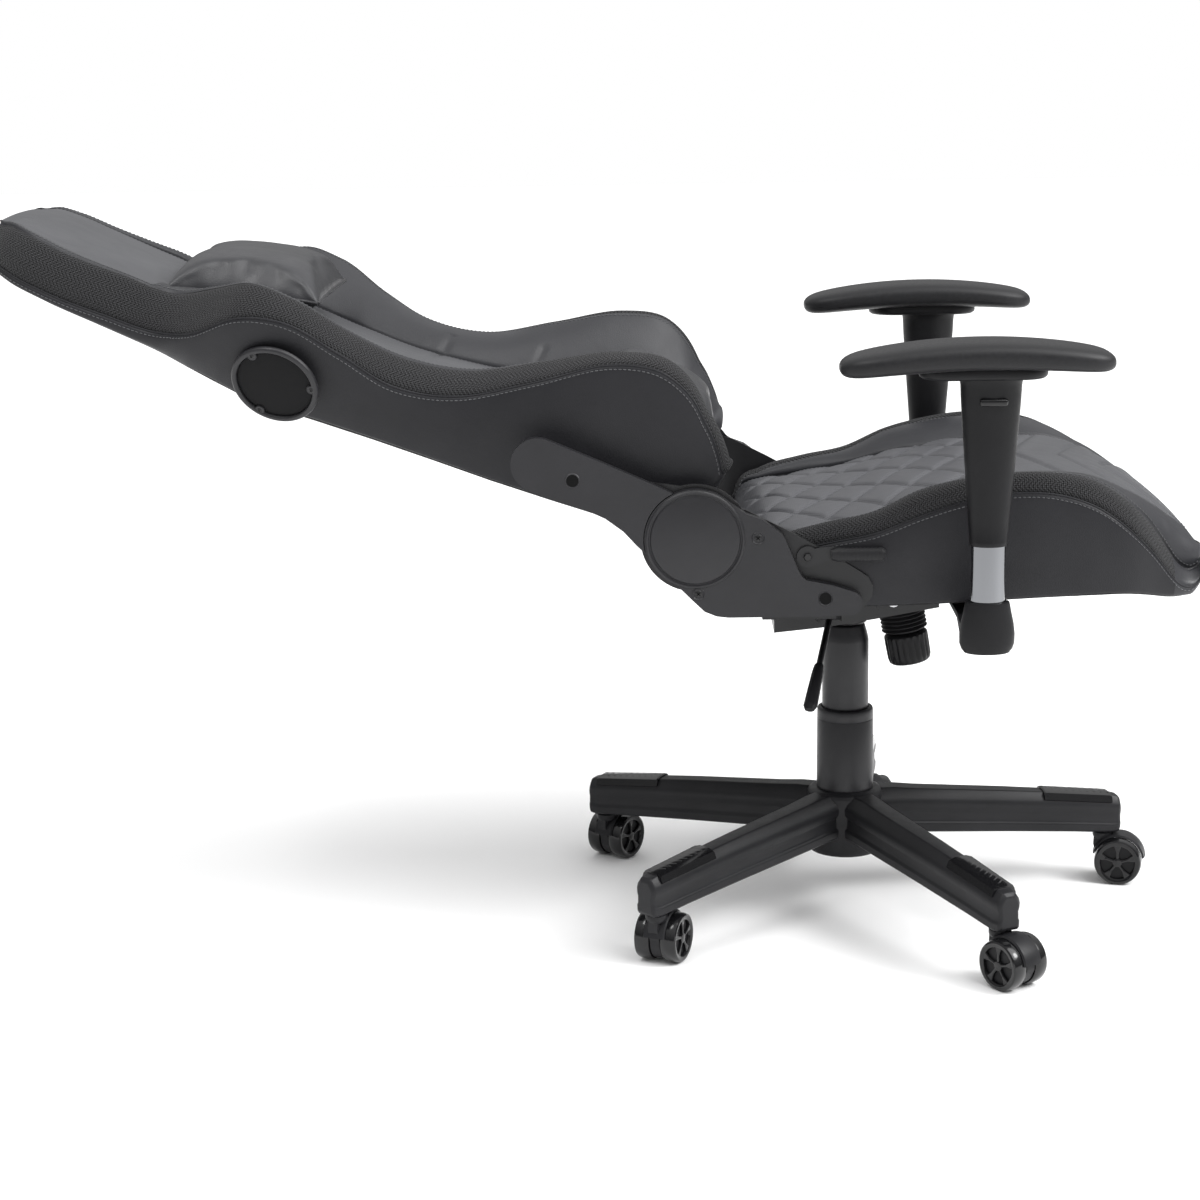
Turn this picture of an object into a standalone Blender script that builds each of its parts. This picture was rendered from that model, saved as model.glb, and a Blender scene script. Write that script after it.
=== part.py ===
"""A reclining gaming chair on a five-star base, standing free on its casters.

The chair faces +X, +Z is up, and its sitter's right is -Y. The origin is on the floor, under the
middle of the chair's box. Everything below is placed from the gas column's axis, which stands
COLUMN_X ahead of that origin. The back lies at 155 degrees to the seat, the seat is at its full
height, and the armrests are fully raised.
"""
import math

import bmesh
import bpy
from mathutils import Matrix, Vector

# ---------------------------------------------------------------- driving dimensions (metres)
GAP = 0.0003
COLUMN_X = 0.2930

# five-star base and casters
LEG_ANGLES = (153.2, 225.2, 297.2, 9.2, 81.2)
STEM_R = 0.332
LEG_END_R = 0.351
HUB_R = 0.046
HUB_TOP = 0.142
HUB_BOTTOM = 0.062
WHEEL_R = 0.029
WHEEL_W = 0.019
WHEEL_STEPS = 18
WHEEL_Y = 0.0165
AXLE_R = 0.0040
CASTER_TRAIL = 0.0205
CASTER_HEADINGS = (54.7, 66.1, -51.5, -14.5, -70.0)
STEM_PIN_R = 0.0055

# gas lift
TUBE_R = 0.0250
TUBE_BORE_R = 0.0155
TUBE_TOP = 0.234
PISTON_R = 0.0140
PISTON_TOP = 0.3765
COVER_BOTTOM = 0.236
COVER_TOP = 0.347

# tilting mechanism
TILT_X = 0.050
TILT_Z = 0.392
HOUSING_HALF_Y = 0.070
KNOB_TOP = (0.0655, 0.0, 0.3735)
KNOB_LEAN = 10.0
LEVER_ROOT = (-0.0240, -0.0840, 0.3795)
LEVER_END = (-0.0455, -0.1950, 0.3410)

# seat
PLATE_BOTTOM = 0.404
PLATE_TOP = 0.410
FRAME_TOP = 0.4238
CUSHION_FLOOR = 0.4243
FRAME_HALF_Y = 0.150

# recliner, on both sides of the seat
HINGE_X = -0.186
HINGE_Z = 0.505
RECLINE = 65.0
INNER_Y = 0.2466
ARM_Y = 0.2503
COVER_Y = 0.2538
OUTER_Y = 0.2655
DISC_R = 0.056
CORE_R = 0.0605
CATCH_X = -0.062
CATCH_Z = 0.482

# armrests
ARM_X = 0.1295
ARM_HALF_Y = 0.308
POST_TOP = 0.5895
POST_BOTTOM = 0.3935
SLEEVE_BOTTOM = 0.504
ARM_PLATE_BOTTOM = 0.674
ARM_PLATE_TOP = 0.687

# ---------------------------------------------------------------- finishes
BLACK_PLASTIC = ("black_plastic", (0.018, 0.018, 0.020), 0.55, 0.0)
GLOSS_PLASTIC = ("gloss_plastic", (0.012, 0.012, 0.013), 0.22, 0.0)
NYLON = ("nylon", (0.016, 0.016, 0.017), 0.48, 0.0)
BLACK_STEEL = ("black_steel", (0.022, 0.022, 0.024), 0.42, 0.6)
CHROME = ("chrome", (0.80, 0.80, 0.82), 0.10, 1.0)
STEEL = ("steel", (0.55, 0.55, 0.57), 0.28, 1.0)
RUBBER = ("rubber", (0.020, 0.020, 0.021), 0.75, 0.0)
LEATHER = ("leather", (0.055, 0.055, 0.062), 0.50, 0.0)
PAD_SKIN = ("pad_skin", (0.020, 0.020, 0.022), 0.60, 0.0)


# ---------------------------------------------------------------- scene helpers
def clear_scene():
    for item in list(bpy.data.objects):
        bpy.data.objects.remove(item)


def collection(name):
    made = bpy.data.collections.new(name)
    bpy.context.scene.collection.children.link(made)
    return made


def finish(spec):
    name, colour, roughness, metallic = spec
    made = bpy.data.materials.get(name)
    if made is None:
        made = bpy.data.materials.new(name)
        made.use_nodes = True
        shader = made.node_tree.nodes["Principled BSDF"]
        shader.inputs["Base Color"].default_value = (*colour, 1.0)
        shader.inputs["Roughness"].default_value = roughness
        shader.inputs["Metallic"].default_value = metallic
    return made


def empty(name, place, turn=(0.0, 0.0, 0.0), parent=None):
    made = bpy.data.objects.new(name, None)
    made.location = place
    made.rotation_euler = [math.radians(a) for a in turn]
    made.parent = parent
    PARTS.objects.link(made)
    return made


def add(name, mesh, spec, parent, place=(0.0, 0.0, 0.0), turn=(0.0, 0.0, 0.0)):
    """One sub-part: a mesh with its finish, placed under its parent."""
    made = bpy.data.objects.new(name, mesh)
    made.location = place
    made.rotation_euler = [math.radians(a) for a in turn]
    made.parent = parent
    mesh.materials.clear()
    mesh.materials.append(finish(spec))
    PARTS.objects.link(made)
    return made


def hide_tool(made):
    PARTS.objects.unlink(made)
    TOOLS.objects.link(made)
    made.hide_render = True
    made.display_type = "WIRE"


def combine(target, tool, operation="DIFFERENCE"):
    """Cut the tool out of the target, or join it on."""
    hide_tool(tool)
    step = target.modifiers.new(operation.title(), "BOOLEAN")
    step.operation = operation
    step.object = tool
    step.solver = "EXACT"


def join(target, tool):
    combine(target, tool, "UNION")


# ---------------------------------------------------------------- shapes
def mesh_of(bm, name):
    bmesh.ops.recalc_face_normals(bm, faces=bm.faces)
    mesh = bpy.data.meshes.new(name)
    bm.to_mesh(mesh)
    bm.free()
    return mesh


def box(name, low, high, spec, parent, bevel=0.0, **where):
    """A box between two corners."""
    bm = bmesh.new()
    bmesh.ops.create_cube(bm, size=1.0)
    size = Vector(high) - Vector(low)
    bmesh.ops.scale(bm, vec=size, verts=bm.verts)
    bmesh.ops.translate(bm, vec=(Vector(low) + Vector(high)) / 2, verts=bm.verts)
    made = add(name, mesh_of(bm, name), spec, parent, **where)
    if bevel:
        edge = made.modifiers.new("Bevel", "BEVEL")
        edge.width = bevel
        edge.segments = 1
    return made


def rod(name, start, end, radius, spec, parent, sides=16):
    """A straight round bar between two points."""
    start, end = Vector(start), Vector(end)
    bm = bmesh.new()
    bmesh.ops.create_cone(bm, cap_ends=True, segments=sides, radius1=radius, radius2=radius,
                          depth=(end - start).length)
    made = add(name, mesh_of(bm, name), spec, parent)
    made.rotation_mode = "QUATERNION"
    made.rotation_quaternion = (end - start).to_track_quat("Z", "Y")
    made.location = (start + end) / 2
    smooth(made)
    return made


def smooth(made, degrees=35.0):
    made.data.shade_smooth()
    made.data.set_sharp_from_angle(angle=math.radians(degrees))


def turned(name, profile, spec, parent, steps=18, closed=False, **where):
    """A profile of (radius, height), top to bottom down the outer side, turned about Z."""
    mesh = bpy.data.meshes.new(name)
    edges = [(i, i + 1) for i in range(len(profile) - 1)]
    if closed:
        edges.append((len(profile) - 1, 0))
    mesh.from_pydata([(r, 0.0, z) for r, z in profile], edges, [])
    made = add(name, mesh, spec, parent, **where)
    screw = made.modifiers.new("Screw", "SCREW")
    screw.angle = math.tau
    screw.steps = steps
    screw.render_steps = steps
    screw.use_merge_vertices = True
    screw.merge_threshold = 0.00001
    screw.use_normal_calculate = False
    screw.use_smooth_shade = True
    return made


def plate(name, outline, y_low, y_high, spec, parent, **where):
    """An outline of (x, z) points made solid between two Y planes."""
    curve = bpy.data.curves.new(name, "CURVE")
    curve.dimensions = "2D"
    curve.fill_mode = "BOTH"
    curve.extrude = (y_high - y_low) / 2
    spline = curve.splines.new("POLY")
    spline.points.add(len(outline) - 1)
    for point, (x, z) in zip(spline.points, outline):
        point.co = (x, z, 0.0, 1.0)
    spline.use_cyclic_u = True
    flat = bpy.data.objects.new(name, curve)
    bpy.context.scene.collection.objects.link(flat)
    graph = bpy.context.evaluated_depsgraph_get()
    mesh = bpy.data.meshes.new_from_object(flat.evaluated_get(graph))
    bpy.data.objects.remove(flat)
    bpy.data.curves.remove(curve)
    upright = Matrix.Translation((0.0, (y_low + y_high) / 2, 0.0)) @ Matrix.Rotation(math.pi / 2, 4, "X")
    bm = bmesh.new()
    bm.from_mesh(mesh)
    bmesh.ops.remove_doubles(bm, verts=bm.verts, dist=0.00001)
    bmesh.ops.transform(bm, matrix=upright, verts=bm.verts)
    bpy.data.meshes.remove(mesh)
    return add(name, mesh_of(bm, name), spec, parent, **where)


def loft(name, rings, spec, parent, **where):
    """A closed skin over rings that each have the same number of points."""
    bm = bmesh.new()
    loops = [[bm.verts.new(point) for point in ring] for ring in rings]
    for low, high in zip(loops, loops[1:]):
        for i in range(len(low)):
            j = (i + 1) % len(low)
            bm.faces.new((low[i], low[j], high[j], high[i]))
    bm.faces.new(loops[0])
    bm.faces.new(loops[-1])
    made = add(name, mesh_of(bm, name), spec, parent, **where)
    smooth(made, 40.0)
    return made


def tube(name, points, radius, spec, parent, resolution=1):
    """A round tube along points, with closed ends."""
    curve = bpy.data.curves.new(name, "CURVE")
    curve.dimensions = "3D"
    curve.bevel_depth = radius
    curve.bevel_resolution = resolution
    curve.use_fill_caps = True
    spline = curve.splines.new("POLY")
    spline.points.add(len(points) - 1)
    for point, place in zip(spline.points, points):
        point.co = (*place, 1.0)
    made = bpy.data.objects.new(name, curve)
    made.parent = parent
    curve.materials.append(finish(spec))
    PARTS.objects.link(made)
    return made


def arc(centre, radius, start, end, count):
    """Points on a circle from one angle to another, in degrees."""
    out = []
    for i in range(count):
        a = math.radians(start + (end - start) * i / (count - 1))
        out.append((centre[0] + radius * math.cos(a), centre[1] + radius * math.sin(a)))
    return out


def blend(table, key, column):
    """The value of a column of a table at a key, straight between its rows."""
    rows = sorted(table)
    if key <= rows[0][0]:
        return rows[0][column]
    for low, high in zip(rows, rows[1:]):
        if key <= high[0]:
            t = (key - low[0]) / (high[0] - low[0])
            return low[column] + (high[column] - low[column]) * t
    return rows[-1][column]


def mirrored(half):
    """A ring from its half: the points from one centre line round to the other."""
    return half + [(-y, z) for y, z in reversed(half[1:-1])]


# ---------------------------------------------------------------- base
def leg_ring(radius, half_width, low, high):
    """One cross-section of a leg: straight sides under a chamfered roof."""
    ridge = high - 0.012
    half = [(-half_width, low), (half_width, low), (half_width, ridge),
            (half_width * 0.45, high), (-half_width * 0.45, high), (-half_width, ridge)]
    return [(radius, y, z) for y, z in half]


def star_base(parent):
    base = turned("star_base", [(0.0, HUB_TOP), (0.040, HUB_TOP), (HUB_R, HUB_TOP - 0.006),
                                (HUB_R, HUB_BOTTOM + 0.003), (0.043, HUB_BOTTOM),
                                (0.0, HUB_BOTTOM)], NYLON, parent, steps=30)
    for i, angle in enumerate(LEG_ANGLES):
        rings = [leg_ring(0.020, 0.024, 0.088, 0.1395), leg_ring(0.200, 0.0195, 0.074, 0.126),
                 leg_ring(LEG_END_R - 0.006, 0.0165, 0.0625, 0.1095),
                 leg_ring(LEG_END_R, 0.0125, 0.0655, 0.1045)]
        leg = loft(f"leg_shape_{i + 1}", rings, NYLON, parent, turn=(0.0, 0.0, angle))
        join(base, leg)
    bore = rod("hub_bore", (0, 0, HUB_BOTTOM - 0.01), (0, 0, HUB_TOP + 0.01), TUBE_R + GAP, NYLON,
               parent, sides=24)
    combine(base, bore)
    for i, angle in enumerate(LEG_ANGLES):
        x, y = stem_place(angle)
        socket = rod(f"stem_socket_{i + 1}", (x, y, 0.050), (x, y, 0.0960), STEM_PIN_R + GAP,
                     NYLON, parent)
        combine(base, socket)
    return base


def stem_place(angle):
    a = math.radians(angle)
    return STEM_R * math.cos(a), STEM_R * math.sin(a)


def caster(number, angle, heading, parent):
    """A twin-wheel caster: its hood with stem and axle, and a wheel on each side."""
    x, y = stem_place(angle)
    stem = empty(f"caster_axis_{number}", (x, y, 0.0), (0.0, 0.0, heading), parent)
    centre = (CASTER_TRAIL, WHEEL_R)
    outline = [(-0.0105, 0.0615), (-0.0105, 0.044), (-0.004, 0.030)]
    outline += arc(centre, 0.0255, 205.0, 335.0, 7)
    outline += arc(centre, 0.0265, 0.0, 80.0, 6)
    outline += [(0.0105, 0.0575), (0.0105, 0.0615)]
    hood = plate(f"caster_hood_{number}", outline, -0.0060, 0.0060, NYLON, stem)
    boss = turned(f"stem_boss_{number}", [(0.0, 0.0940), (STEM_PIN_R, 0.0930), (STEM_PIN_R, 0.0618),
                                          (0.0115, 0.0618), (0.0115, 0.0592), (0.0062, 0.0565),
                                          (0.0, 0.0480)],
                  NYLON, stem, steps=16)
    join(hood, boss)
    half = WHEEL_Y + WHEEL_W / 2 - 0.0050
    axle = rod(f"axle_{number}", (centre[0], -half, centre[1]), (centre[0], half, centre[1]), AXLE_R,
               STEEL, stem, sides=12)
    join(hood, axle)
    for letter, side in (("a", -1), ("b", 1)):
        wheel(f"wheel_{number}{letter}", centre, side, stem)


def wheel(name, centre, side, parent):
    """One caster wheel: a dished disc with a rounded tread, its outer face away from the hood."""
    w = WHEEL_W / 2
    tread = WHEEL_R / math.cos(math.pi / WHEEL_STEPS)
    profile = [(0.0, w - 0.0020), (0.0225, w - 0.0020), (0.0250, w), (tread - 0.0010, w - 0.0008),
               (tread, w - 0.0040), (tread, -w + 0.0010), (tread - 0.0010, -w),
               (AXLE_R + GAP, -w), (AXLE_R + GAP, w - 0.0045), (0.0, w - 0.0045)]
    turned(name, profile, GLOSS_PLASTIC, parent, steps=WHEEL_STEPS,
           place=(centre[0], side * WHEEL_Y, centre[1]), turn=(90.0 if side < 0 else -90.0, 0.0, 0.0))


# ---------------------------------------------------------------- gas lift
def gas_lift(column):
    turned("column_tube", [(0.0, 0.1380), (TUBE_BORE_R, 0.1380), (TUBE_BORE_R, TUBE_TOP),
                           (TUBE_R - 0.001, TUBE_TOP), (TUBE_R, TUBE_TOP - 0.001),
                           (TUBE_R, HUB_BOTTOM), (0.0165, HUB_BOTTOM), (0.0165, 0.0560),
                           (0.0, 0.0560)], BLACK_STEEL, column)
    turned("column_cover_lower", [(0.0290, 0.2430), (0.0330, 0.2430), (0.0340, 0.2400),
                                  (0.0340, HUB_TOP + GAP), (0.0290, HUB_TOP + GAP)],
           BLACK_PLASTIC, column, closed=True)
    turned("piston_rod", [(0.0, PISTON_TOP), (0.0130, PISTON_TOP), (PISTON_R, PISTON_TOP - 0.001),
                          (PISTON_R, 0.2290), (0.0, 0.2290)], CHROME, column)
    turned("column_cover_upper", [(PISTON_R + GAP, COVER_TOP), (0.0225, COVER_TOP),
                                  (0.0235, COVER_TOP - 0.002), (0.0280, 0.3300),
                                  (0.0280, COVER_BOTTOM), (0.0258, COVER_BOTTOM),
                                  (0.0258, 0.3260), (0.0215, 0.3420), (PISTON_R + GAP, 0.3420)],
           BLACK_PLASTIC, column, closed=True)


# ---------------------------------------------------------------- tilting mechanism
def mechanism(column):
    """The pressed housing on the piston, its tilt pin, tension knob and height lever."""
    housing = plate("mechanism_housing", [(0.105, 0.4015), (TILT_X, 0.4015), (-0.090, 0.3665),
                                          (-0.090, 0.3520), (-0.030, 0.3580), (0.037, 0.3685),
                                          (0.105, 0.3805)], -HOUSING_HALF_Y, HOUSING_HALF_Y,
                    BLACK_STEEL, column)
    join(housing, turned("piston_socket", [(0.0, 0.3700), (0.0262, 0.3700), (0.0262, 0.3510),
                                           (0.0245, 0.3490), (0.0, 0.3490)], BLACK_STEEL, column))
    for number, (low, high) in enumerate(((-0.0405, -0.0358), (-0.0122, -0.0075))):
        join(housing, box(f"lever_ear_{number + 1}", (low, -0.095, 0.3695), (high, -0.068, 0.3875),
                          BLACK_STEEL, column))
    combine(housing, rod("piston_bore", (0, 0, 0.330), (0, 0, PISTON_TOP + GAP), PISTON_R + GAP,
                         STEEL, column, sides=24))
    combine(housing, rod("pin_bore", (TILT_X, -0.1, TILT_Z), (TILT_X, 0.1, TILT_Z), 0.0053, STEEL,
                         column))
    knob_axis = empty("knob_axis", KNOB_TOP, (0.0, -KNOB_LEAN, 0.0), column)
    combine(housing, rod("knob_bore", (0, 0, -0.030), (0, 0, 0.0090), 0.0060, STEEL, knob_axis,))
    turned("tilt_pivot_pin", [(0.0, 0.0815), (0.0080, 0.0815), (0.0080, 0.0788), (0.0050, 0.0788),
                              (0.0050, -0.0788), (0.0080, -0.0788), (0.0080, -0.0815),
                              (0.0, -0.0815)], STEEL, column, steps=16,
           place=(TILT_X, 0.0, TILT_Z), turn=(90.0, 0.0, 0.0))
    ribs = []
    for i in range(4):
        z = -0.0030 - i * 0.0085
        ribs += [(0.0235, z), (0.0280, z - 0.0040)]
    turned("spring_bellows", [(0.0075, -0.0005), (0.0235, -0.0005)] + ribs
           + [(0.0235, -0.0365), (0.0075, -0.0365)], RUBBER, knob_axis, closed=True)
    turned("tension_knob", [(0.0, 0.0080), (0.0055, 0.0080), (0.0055, -0.0372), (0.0225, -0.0372),
                            (0.0265, -0.0410), (0.0265, -0.0680), (0.0235, -0.0760),
                            (0.0, -0.0760)], BLACK_PLASTIC, knob_axis)
    height_lever(column)


def height_lever(column):
    """The bar that works the gas valve, in a pivoting bush, with a paddle for the hand."""
    root, end = Vector(LEVER_ROOT), Vector(LEVER_END)
    along = (end - root).normalized()
    across = Vector((1.0, 0.0, 0.0))
    across = (across - along * across.dot(along)).normalized()
    upward = across.cross(along)
    pivot = empty("lever_axis", LEVER_ROOT, parent=column)
    bush = rod("lever_bush", (-0.0115, 0, 0), (0.0115, 0, 0), 0.0090, BLACK_PLASTIC, pivot)
    combine(bush, rod("bush_bore", along * -0.02, along * 0.02, 0.0042, STEEL, pivot))
    rod("height_lever_rod", along * -0.0010, along * 0.1280, 0.0038, BLACK_STEEL, pivot)
    rings = []
    for reach, width, height in ((0.1170, 0.0058, 0.0052), (0.1300, 0.0068, 0.0058),
                                 (0.1700, 0.0076, 0.0048), (0.1980, 0.0080, 0.0042),
                                 (0.2060, 0.0055, 0.0026)):
        ring = []
        for i in range(12):
            a = math.tau * i / 12
            ring.append(along * reach + across * (width * math.cos(a))
                        + upward * (height * math.sin(a)))
        rings.append(ring)
    paddle = loft("lever_paddle", rings, BLACK_PLASTIC, pivot)
    combine(paddle, rod("paddle_bore", along * 0.1100, along * 0.1285, 0.0041, STEEL, pivot))


# ---------------------------------------------------------------- seat
SEAT_TABLE = (
    # x, cushion underside, side seam height, ridge height, centre height, half-width at the side
    (-0.132, 0.4240, 0.4500, 0.4600, 0.4600, 0.222),
    (-0.122, 0.4190, 0.4680, 0.4800, 0.4780, 0.234),
    (-0.095, 0.4170, 0.4820, 0.4960, 0.4890, 0.243),
    (-0.040, 0.4170, 0.4960, 0.5130, 0.4990, 0.245),
    (0.015, 0.4180, 0.5070, 0.5240, 0.5120, 0.246),
    (0.065, 0.4190, 0.5260, 0.5480, 0.5290, 0.246),
    (0.110, 0.4210, 0.5400, 0.5590, 0.5400, 0.246),
    (0.170, 0.4240, 0.5500, 0.5660, 0.5480, 0.246),
    (0.215, 0.4260, 0.5470, 0.5650, 0.5510, 0.246),
    (0.260, 0.4270, 0.5250, 0.5520, 0.5500, 0.244),
    (0.300, 0.4260, 0.4900, 0.5230, 0.5380, 0.236),
    (0.328, 0.4210, 0.4720, 0.5040, 0.5230, 0.222),
    (0.358, 0.4150, 0.4600, 0.4860, 0.5040, 0.206),
    (0.382, 0.4230, 0.4520, 0.4680, 0.4820, 0.194),
    (0.392, 0.4440, 0.4510, 0.4570, 0.4620, 0.186),
)


def seat_ring(row):
    """One cross-section of the seat cushion, with the frame's recess in its underside."""
    x, low, seam, ridge, centre, wide = row
    recess = FRAME_HALF_Y + 0.0050
    floor = CUSHION_FLOOR if -0.125 < x < 0.27 else low + 0.0002
    crest = min(wide - 0.011, 0.236)
    half = [(0.0, floor), (recess - 0.020, floor), (recess, floor), (recess + 0.0006, low),
            (wide - 0.012, low), (wide - 0.001, low + min(0.012, 0.30 * (seam - low))),
            (wide, (low + seam) / 2),
            (wide - 0.001, seam), (crest, ridge), (crest - 0.030, (ridge + centre) / 2 + 0.004),
            (0.150, centre - 0.002), (0.075, centre), (0.0, centre + 0.001)]
    if recess + 0.0006 > wide - 0.012:
        half[1:5] = [(wide * 0.5, floor), (wide * 0.8, floor), (wide * 0.9, low), (wide - 0.012, low)]
    return [(x, y, z) for y, z in mirrored(half)]


def seat(tilt):
    """The seat plate on the tilt pin, the frame on it, and the cushion. Heights are from the floor."""
    pan = box("seat_plate", (-0.100, -0.066, PLATE_BOTTOM), (0.160, 0.066, PLATE_TOP), BLACK_STEEL,
              tilt)
    join(pan, box("cross_lug", (0.025, -0.0784, PLATE_BOTTOM), (0.075, 0.0784, PLATE_TOP - 0.0004),
                  BLACK_STEEL, tilt))
    for number, side in enumerate((-1, 1)):
        low, high = sorted((side * 0.0745, side * 0.0784))
        join(pan, box(f"flange_{number + 1}", (0.032, low, 0.3810), (0.068, high, PLATE_TOP - 0.001),
                      BLACK_STEEL, tilt))
    combine(pan, rod("flange_bore", (TILT_X, -0.1, TILT_Z), (TILT_X, 0.1, TILT_Z), 0.0053, STEEL,
                     tilt))
    low, high = PLATE_TOP + GAP, FRAME_TOP
    inside = FRAME_HALF_Y - 0.022
    frame = box("seat_frame", (-0.118, -FRAME_HALF_Y, low), (0.255, -inside, high), BLACK_STEEL, tilt)
    join(frame, box("far_rail", (-0.118, inside, low), (0.255, FRAME_HALF_Y, high), BLACK_STEEL, tilt))
    for number, x in enumerate((-0.118, 0.040, 0.233)):
        join(frame, box(f"cross_rail_{number + 1}", (x, -inside - 0.005, low + 0.0002),
                        (x + 0.022, inside + 0.005, high - 0.0002), BLACK_STEEL, tilt))
    loft("seat_cushion", [seat_ring(row) for row in SEAT_TABLE], LEATHER, tilt)


# ---------------------------------------------------------------- armrests
def oval(x_half, y_half, z, count=20):
    return [(x_half * math.cos(math.tau * i / count), y_half * math.sin(math.tau * i / count), z)
            for i in range(count)]


def armrest(name, side, tilt):
    """One armrest: bracket, chrome post in its collar, sliding sleeve with button, and arm pad."""
    bent = [(0.100, 0.4040), (0.222, 0.4040), (0.262, 0.3860), (0.2905, 0.3860), (0.2905, 0.4020),
            (0.266, 0.4020), (0.226, 0.4098), (0.100, 0.4098)]
    bracket_bar(f"arm_bracket_{name}", bent, side, tilt)
    post = empty(f"arm_axis_{name}", (ARM_X, side * ARM_HALF_Y, 0.0), parent=tilt)
    loft(f"arm_post_{name}", [oval(0.0185, 0.0125, z) for z in (POST_BOTTOM, POST_TOP)], CHROME, post)
    collar = loft(f"arm_collar_{name}", [oval(0.0250, 0.0165, 0.3850), oval(0.0300, 0.0170, 0.3950),
                                         oval(0.0285, 0.0170, 0.4180), oval(0.0235, 0.0160, 0.4420)],
                  BLACK_PLASTIC, post)
    combine(collar, loft(f"collar_bore_{name}", [oval(0.0188, 0.0128, POST_BOTTOM - GAP),
                                                 oval(0.0188, 0.0128, 0.46)], STEEL, post))
    sleeve = loft(f"arm_sleeve_{name}", [oval(0.0215, 0.0155, SLEEVE_BOTTOM),
                                         oval(0.0250, 0.0190, 0.590), oval(0.0310, 0.0240, 0.6760)],
                  BLACK_PLASTIC, post)
    head = box(f"pad_plate_{name}", (-0.1015, -0.035, ARM_PLATE_BOTTOM), (0.0595, 0.035, ARM_PLATE_TOP),
               BLACK_PLASTIC, post, bevel=0.004)
    join(sleeve, head)
    combine(sleeve, loft(f"sleeve_bore_{name}", [oval(0.0190, 0.0130, 0.45), oval(0.0190, 0.0130, 0.650)],
                         STEEL, post))
    low, high = sorted((side * 0.0185, side * 0.0300))
    combine(sleeve, box(f"button_pocket_{name}", (-0.0155, low, 0.6570), (0.0155, high, 0.6736),
                        STEEL, post))
    low, high = sorted((side * 0.0188, side * 0.0262))
    box(f"arm_button_{name}", (-0.0150, low, 0.6585), (0.0150, high, 0.6668), GLOSS_PLASTIC, post,
        bevel=0.0012)
    arm_pad(f"arm_pad_{name}", post)


def bracket_bar(name, outline, side, tilt):
    """A bent flat bar from under the seat frame to the collar."""
    rings = []
    for x in (0.1070, 0.1520):
        rings.append([(x, side * y, z) for y, z in outline])
    loft(name, rings, BLACK_STEEL, tilt)


def arm_pad(name, post):
    """The long arched pad, rounded all round, on the sleeve's plate."""
    rings = []
    for t in (-1.0, -0.94, -0.80, -0.45, 0.0, 0.45, 0.80, 0.94, 1.0):
        x = -0.0155 + 0.1455 * t
        width = 0.0440 * (1.0 - 0.42 * abs(t) ** 9)
        top = 0.7280 - 0.0160 * t * t - 0.0100 * abs(t) ** 12
        low = ARM_PLATE_TOP + GAP + 0.0060 * abs(t) ** 8
        thick = top - low
        half = [(0.80, 0.0), (1.0, 0.25), (1.0, 0.68), (0.80, 0.93), (0.35, 1.0)]
        ring = [(width * out, low + thick * up) for out, up in half]
        ring += [(-width * out, low + thick * up) for out, up in reversed(half)]
        rings.append([(x, y, z) for y, z in ring])
    loft(name, rings, PAD_SKIN, post)


# ---------------------------------------------------------------- recliner
def cover_outline(grow=0.0):
    """The seat-side cover: a disc round the hinge with an arm running forward and down."""
    hinge = (HINGE_X, HINGE_Z)
    radius = DISC_R + grow
    points = arc(hinge, radius, 57.0, 252.0, 16)
    points += [(-0.178, 0.4240), (-0.155, 0.4165), (-0.050, 0.4165), (-0.0080, 0.4215),
               (-0.0030, 0.4300), (-0.0060, 0.4400), (-0.0360, 0.4520), (-0.0650, 0.4580),
               (-0.0720, 0.4680), (-0.0860, 0.5040), (-0.0900, 0.5110), (-0.1120, 0.5260)]
    return points


def recliner(name, side, tilt, back):
    """One recliner: the steel inner plate, the moulded cover, and the arm that carries the back."""
    def span(low, high):
        return sorted((side * low, side * high))

    hinge = (HINGE_X, HINGE_Z)
    inner = arc(hinge, 0.0450, 60.0, 235.0, 10)
    inner += [(-0.150, 0.4180), (-0.020, 0.4180)] + arc((-0.012, 0.4430), 0.0230, -80.0, 70.0, 6)
    inner += [(-0.045, 0.4900), (-0.085, 0.5120), (-0.130, 0.5350)]
    low, high = span(INNER_Y, ARM_Y - GAP)
    inner_plate = plate(f"recliner_inner_{name}", inner, low, high, BLACK_STEEL, tilt)
    low, high = span(FRAME_HALF_Y + GAP, ARM_Y - 2 * GAP)
    join(inner_plate, box(f"recliner_foot_{name}", (-0.112, low, 0.4106), (-0.030, high, 0.4160),
                          BLACK_STEEL, tilt))
    low, high = span(INNER_Y + 0.0003, ARM_Y - 2 * GAP)
    join(inner_plate, box(f"recliner_web_{name}", (-0.112, low, 0.4110), (-0.030, high, 0.4260),
                          BLACK_STEEL, tilt))
    low, high = span(INNER_Y + 0.001, ARM_Y + 0.0032)
    join(inner_plate, rod(f"catch_stud_{name}", (CATCH_X, low, CATCH_Z), (CATCH_X, high, CATCH_Z),
                          0.0040, BLACK_STEEL, tilt))
    low, high = span(ARM_Y, OUTER_Y)
    cover = plate(f"recliner_cover_{name}", cover_outline(), low, high, BLACK_PLASTIC, tilt)
    low, high = span(ARM_Y - 0.002, COVER_Y)
    combine(cover, rod(f"core_pocket_{name}", (hinge[0], low, hinge[1]), (hinge[0], high, hinge[1]),
                       CORE_R + 0.0010, STEEL, tilt, sides=32))
    back_arm(f"back_arm_{name}", side, back)


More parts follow.
